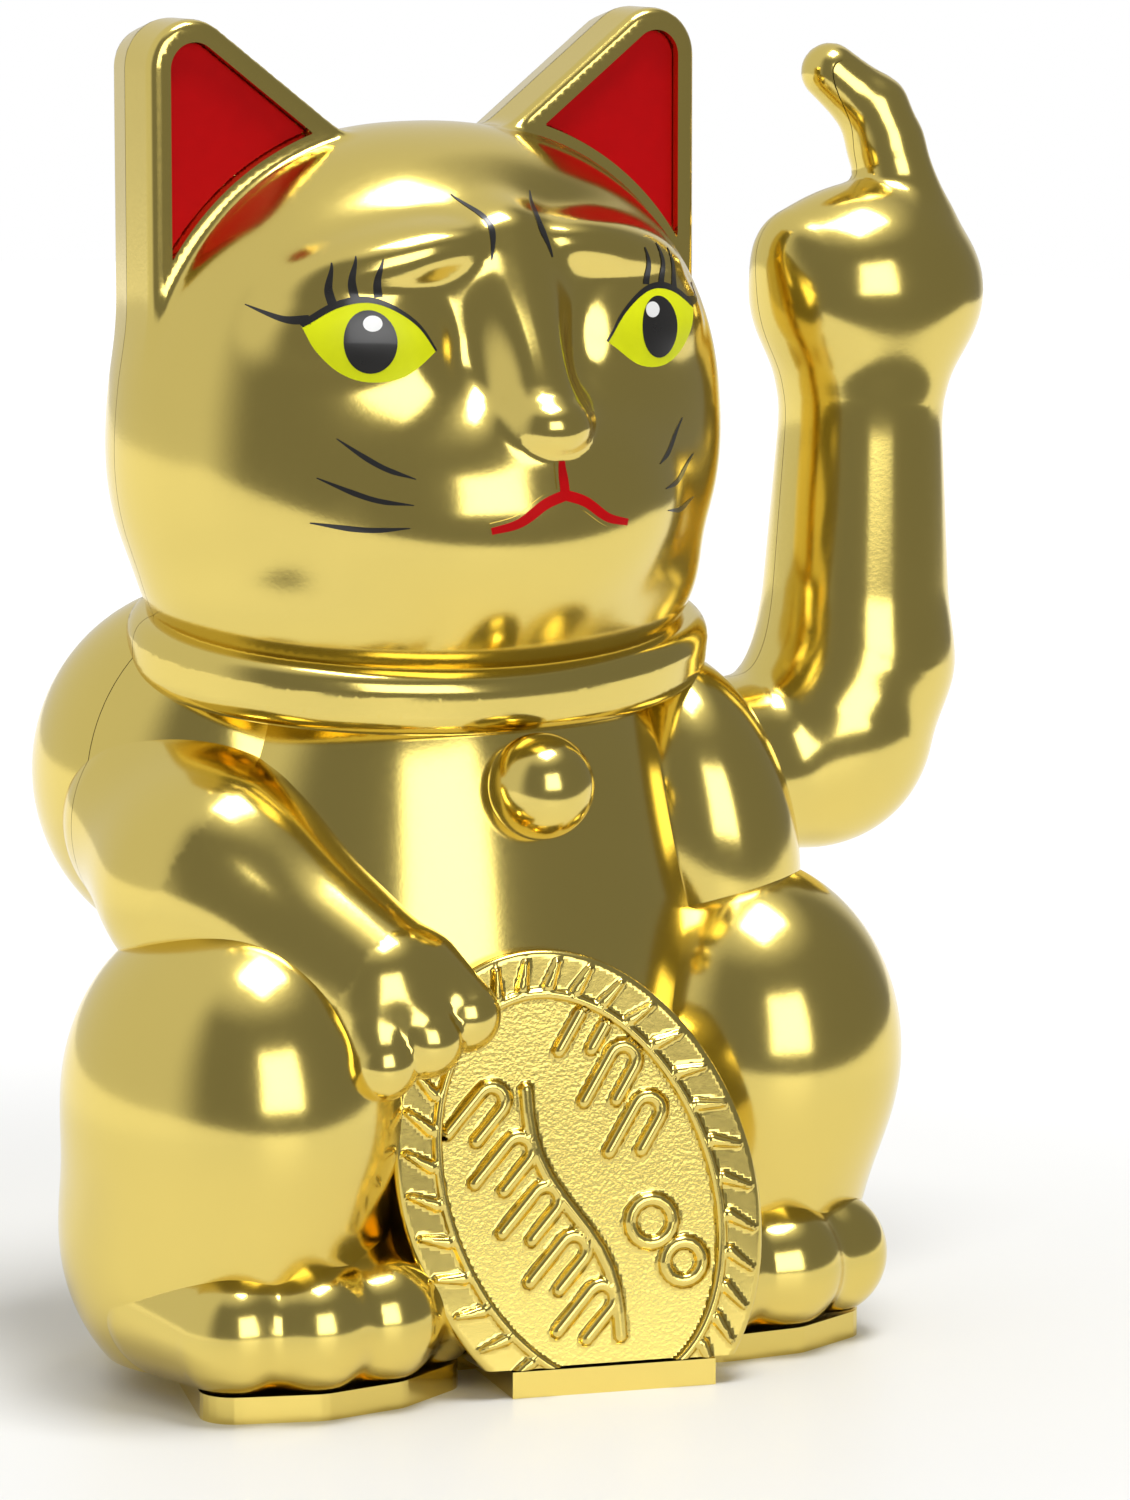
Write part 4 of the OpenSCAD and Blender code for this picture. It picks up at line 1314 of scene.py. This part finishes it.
def studio_world(room, window):
    """White to the eye; in reflections a dim room in front, pale walls round it and one softbox."""
    world = bpy.data.worlds.new("studio")
    bpy.context.scene.world = world
    f = Finish("studio", world)
    direction = f.node("ShaderNodeTexCoord", out="Generated")
    parts = f.raw("ShaderNodeSeparateXYZ", {}, {0: direction})
    x, y, z = (Value(f, parts.outputs[i]) for i in range(3))
    around = f.node("ShaderNodeMath", {"operation": "ARCTAN2"}, {0: x, 1: 0 - y})
    front = around.over(-1.25, 0.25) * (1 - around.over(2.1, 0.2))
    low_part = 1 - z.over(0.86, 0.12)
    dim = front * low_part
    box = around.over(-0.33, 0.05) * (1 - around.over(0.22, 0.05))
    box = box * z.over(0.02, 0.02) * (1 - z.over(0.55, 0.04))
    light = PALE - dim * (PALE - room) + box * window
    shader = f.raw("ShaderNodeBackground", {}, {"Color": (1.0, 1.0, 1.0, 1.0), "Strength": light})
    plain = f.raw("ShaderNodeBackground", {}, {"Color": (1.0, 1.0, 1.0, 1.0), "Strength": 1.0})
    seen = f.node("ShaderNodeLightPath", out="Is Camera Ray")
    both_ways = f.raw("ShaderNodeMixShader", {}, {"Fac": seen})
    f.tree.links.new(shader.outputs[0], both_ways.inputs[1])
    f.tree.links.new(plain.outputs[0], both_ways.inputs[2])
    out = f.raw("ShaderNodeOutputWorld")
    f.tree.links.new(both_ways.outputs[0], out.inputs["Surface"])


class CAT_OT_stage(bpy.types.Operator):
    """Lays the pale floor and sets the studio light and the camera"""

    bl_idname = "cat.stage"
    bl_label = "Stage"

    def execute(self, context):
        studio = context.scene.cat_studio
        work = bmesh.new()
        bmesh.ops.create_circle(work, cap_ends=True, radius=1, segments=96)
        for vert in work.verts:
            reach = 0.21 if vert.co.y < 0 else 1.6
            vert.co = Vector((vert.co.x * (0.8 + 0.8 * max(vert.co.y, 0)), vert.co.y * reach, 0))
        mesh = bpy.data.meshes.new("floor")
        work.to_mesh(mesh)
        work.free()
        floor = bpy.data.objects.new("floor", mesh)
        context.scene.collection.objects.link(floor)
        f = Finish("pale_floor")
        spot = f.node("ShaderNodeVectorMath", {"operation": "LENGTH"}, {0: f.place()}, out="Value")
        far = spot.over(0.16, 0.07)
        f.surface(
            Base_Color=f.mix(far, (0.84, 0.84, 0.83, 1.0), (0.0, 0.0, 0.0, 1.0)),
            Roughness=0.4 + f.noise(30, 2) * 0.1,
            Emission_Color=f.mix(far, (0.0, 0.0, 0.0, 1.0), (1.0, 1.0, 1.0, 1.0)),
            Emission_Strength=1.0,
            Specular_IOR_Level=0.3,
        )
        mesh.materials.append(f.owner)
        studio_world(studio.room, studio.window)
        key = bpy.data.lights.new("top_softbox", "AREA")
        key.shape = "RECTANGLE"
        key.size, key.size_y = 0.5, 0.35
        key.energy = 9
        lamp = bpy.data.objects.new("top_softbox", key)
        lamp.location = (0.12, -0.22, 1.15)
        lamp.rotation_euler = (Vector(lamp.location) - Vector(TARGET)).to_track_quat("Z", "Y").to_euler()
        context.scene.collection.objects.link(lamp)
        a, e = radians(studio.azimuth), radians(studio.elevation)
        back = Vector((sin(a) * cos(e), -cos(a) * cos(e), sin(e)))
        eye = bpy.data.cameras.new("camera")
        eye.lens = studio.lens
        eye.sensor_width = 36
        eye.clip_start = 0.05
        camera = bpy.data.objects.new("camera", eye)
        camera.location = Vector(TARGET) + back * studio.distance
        camera.rotation_euler = back.to_track_quat("Z", "Y").to_euler()
        context.scene.collection.objects.link(camera)
        context.scene.camera = camera
        context.scene.view_settings.view_transform = "Standard"
        return {"FINISHED"}


OPERATORS = (
    CAT_OT_stage,
    CAT_OT_finishes,
    CAT_OT_figure,
    CAT_OT_ears,
    CAT_OT_face,
    CAT_OT_arm,
    CAT_OT_winding,
    CAT_OT_spring,
)


class CAT_PT_panel(bpy.types.Panel):
    """Lists the sizes, colours and steps of the cat"""

    bl_label = "Waving cat"
    bl_idname = "CAT_PT_panel"
    bl_space_type = "VIEW_3D"
    bl_region_type = "UI"
    bl_category = "Cat"

    def draw(self, context):
        for group in (context.scene.cat_form, context.scene.cat_colours, context.scene.cat_studio):
            box = self.layout.box()
            for key in group.__annotations__:
                box.prop(group, key)
        for operator in OPERATORS:
            self.layout.operator(operator.bl_idname)


GROUPS = {"cat_form": CatForm, "cat_colours": CatColours, "cat_studio": CatStudio}


def register():
    for group in GROUPS.values():
        bpy.utils.register_class(group)
    for operator in OPERATORS:
        bpy.utils.register_class(operator)
    bpy.utils.register_class(CAT_PT_panel)
    for name, group in GROUPS.items():
        setattr(bpy.types.Scene, name, bpy.props.PointerProperty(type=group))


def unregister():
    for name in GROUPS:
        delattr(bpy.types.Scene, name)
    bpy.utils.unregister_class(CAT_PT_panel)
    for operator in reversed(OPERATORS):
        bpy.utils.unregister_class(operator)
    for group in reversed(GROUPS.values()):
        bpy.utils.unregister_class(group)


def main():
    register()
    bpy.ops.cat.stage()
    bpy.ops.cat.finishes()
    bpy.ops.cat.figure()
    bpy.ops.cat.ears()
    bpy.ops.cat.face()
    bpy.ops.cat.arm()
    bpy.ops.cat.winding()
    bpy.ops.cat.spring()


if __name__ == "__main__":
    main()
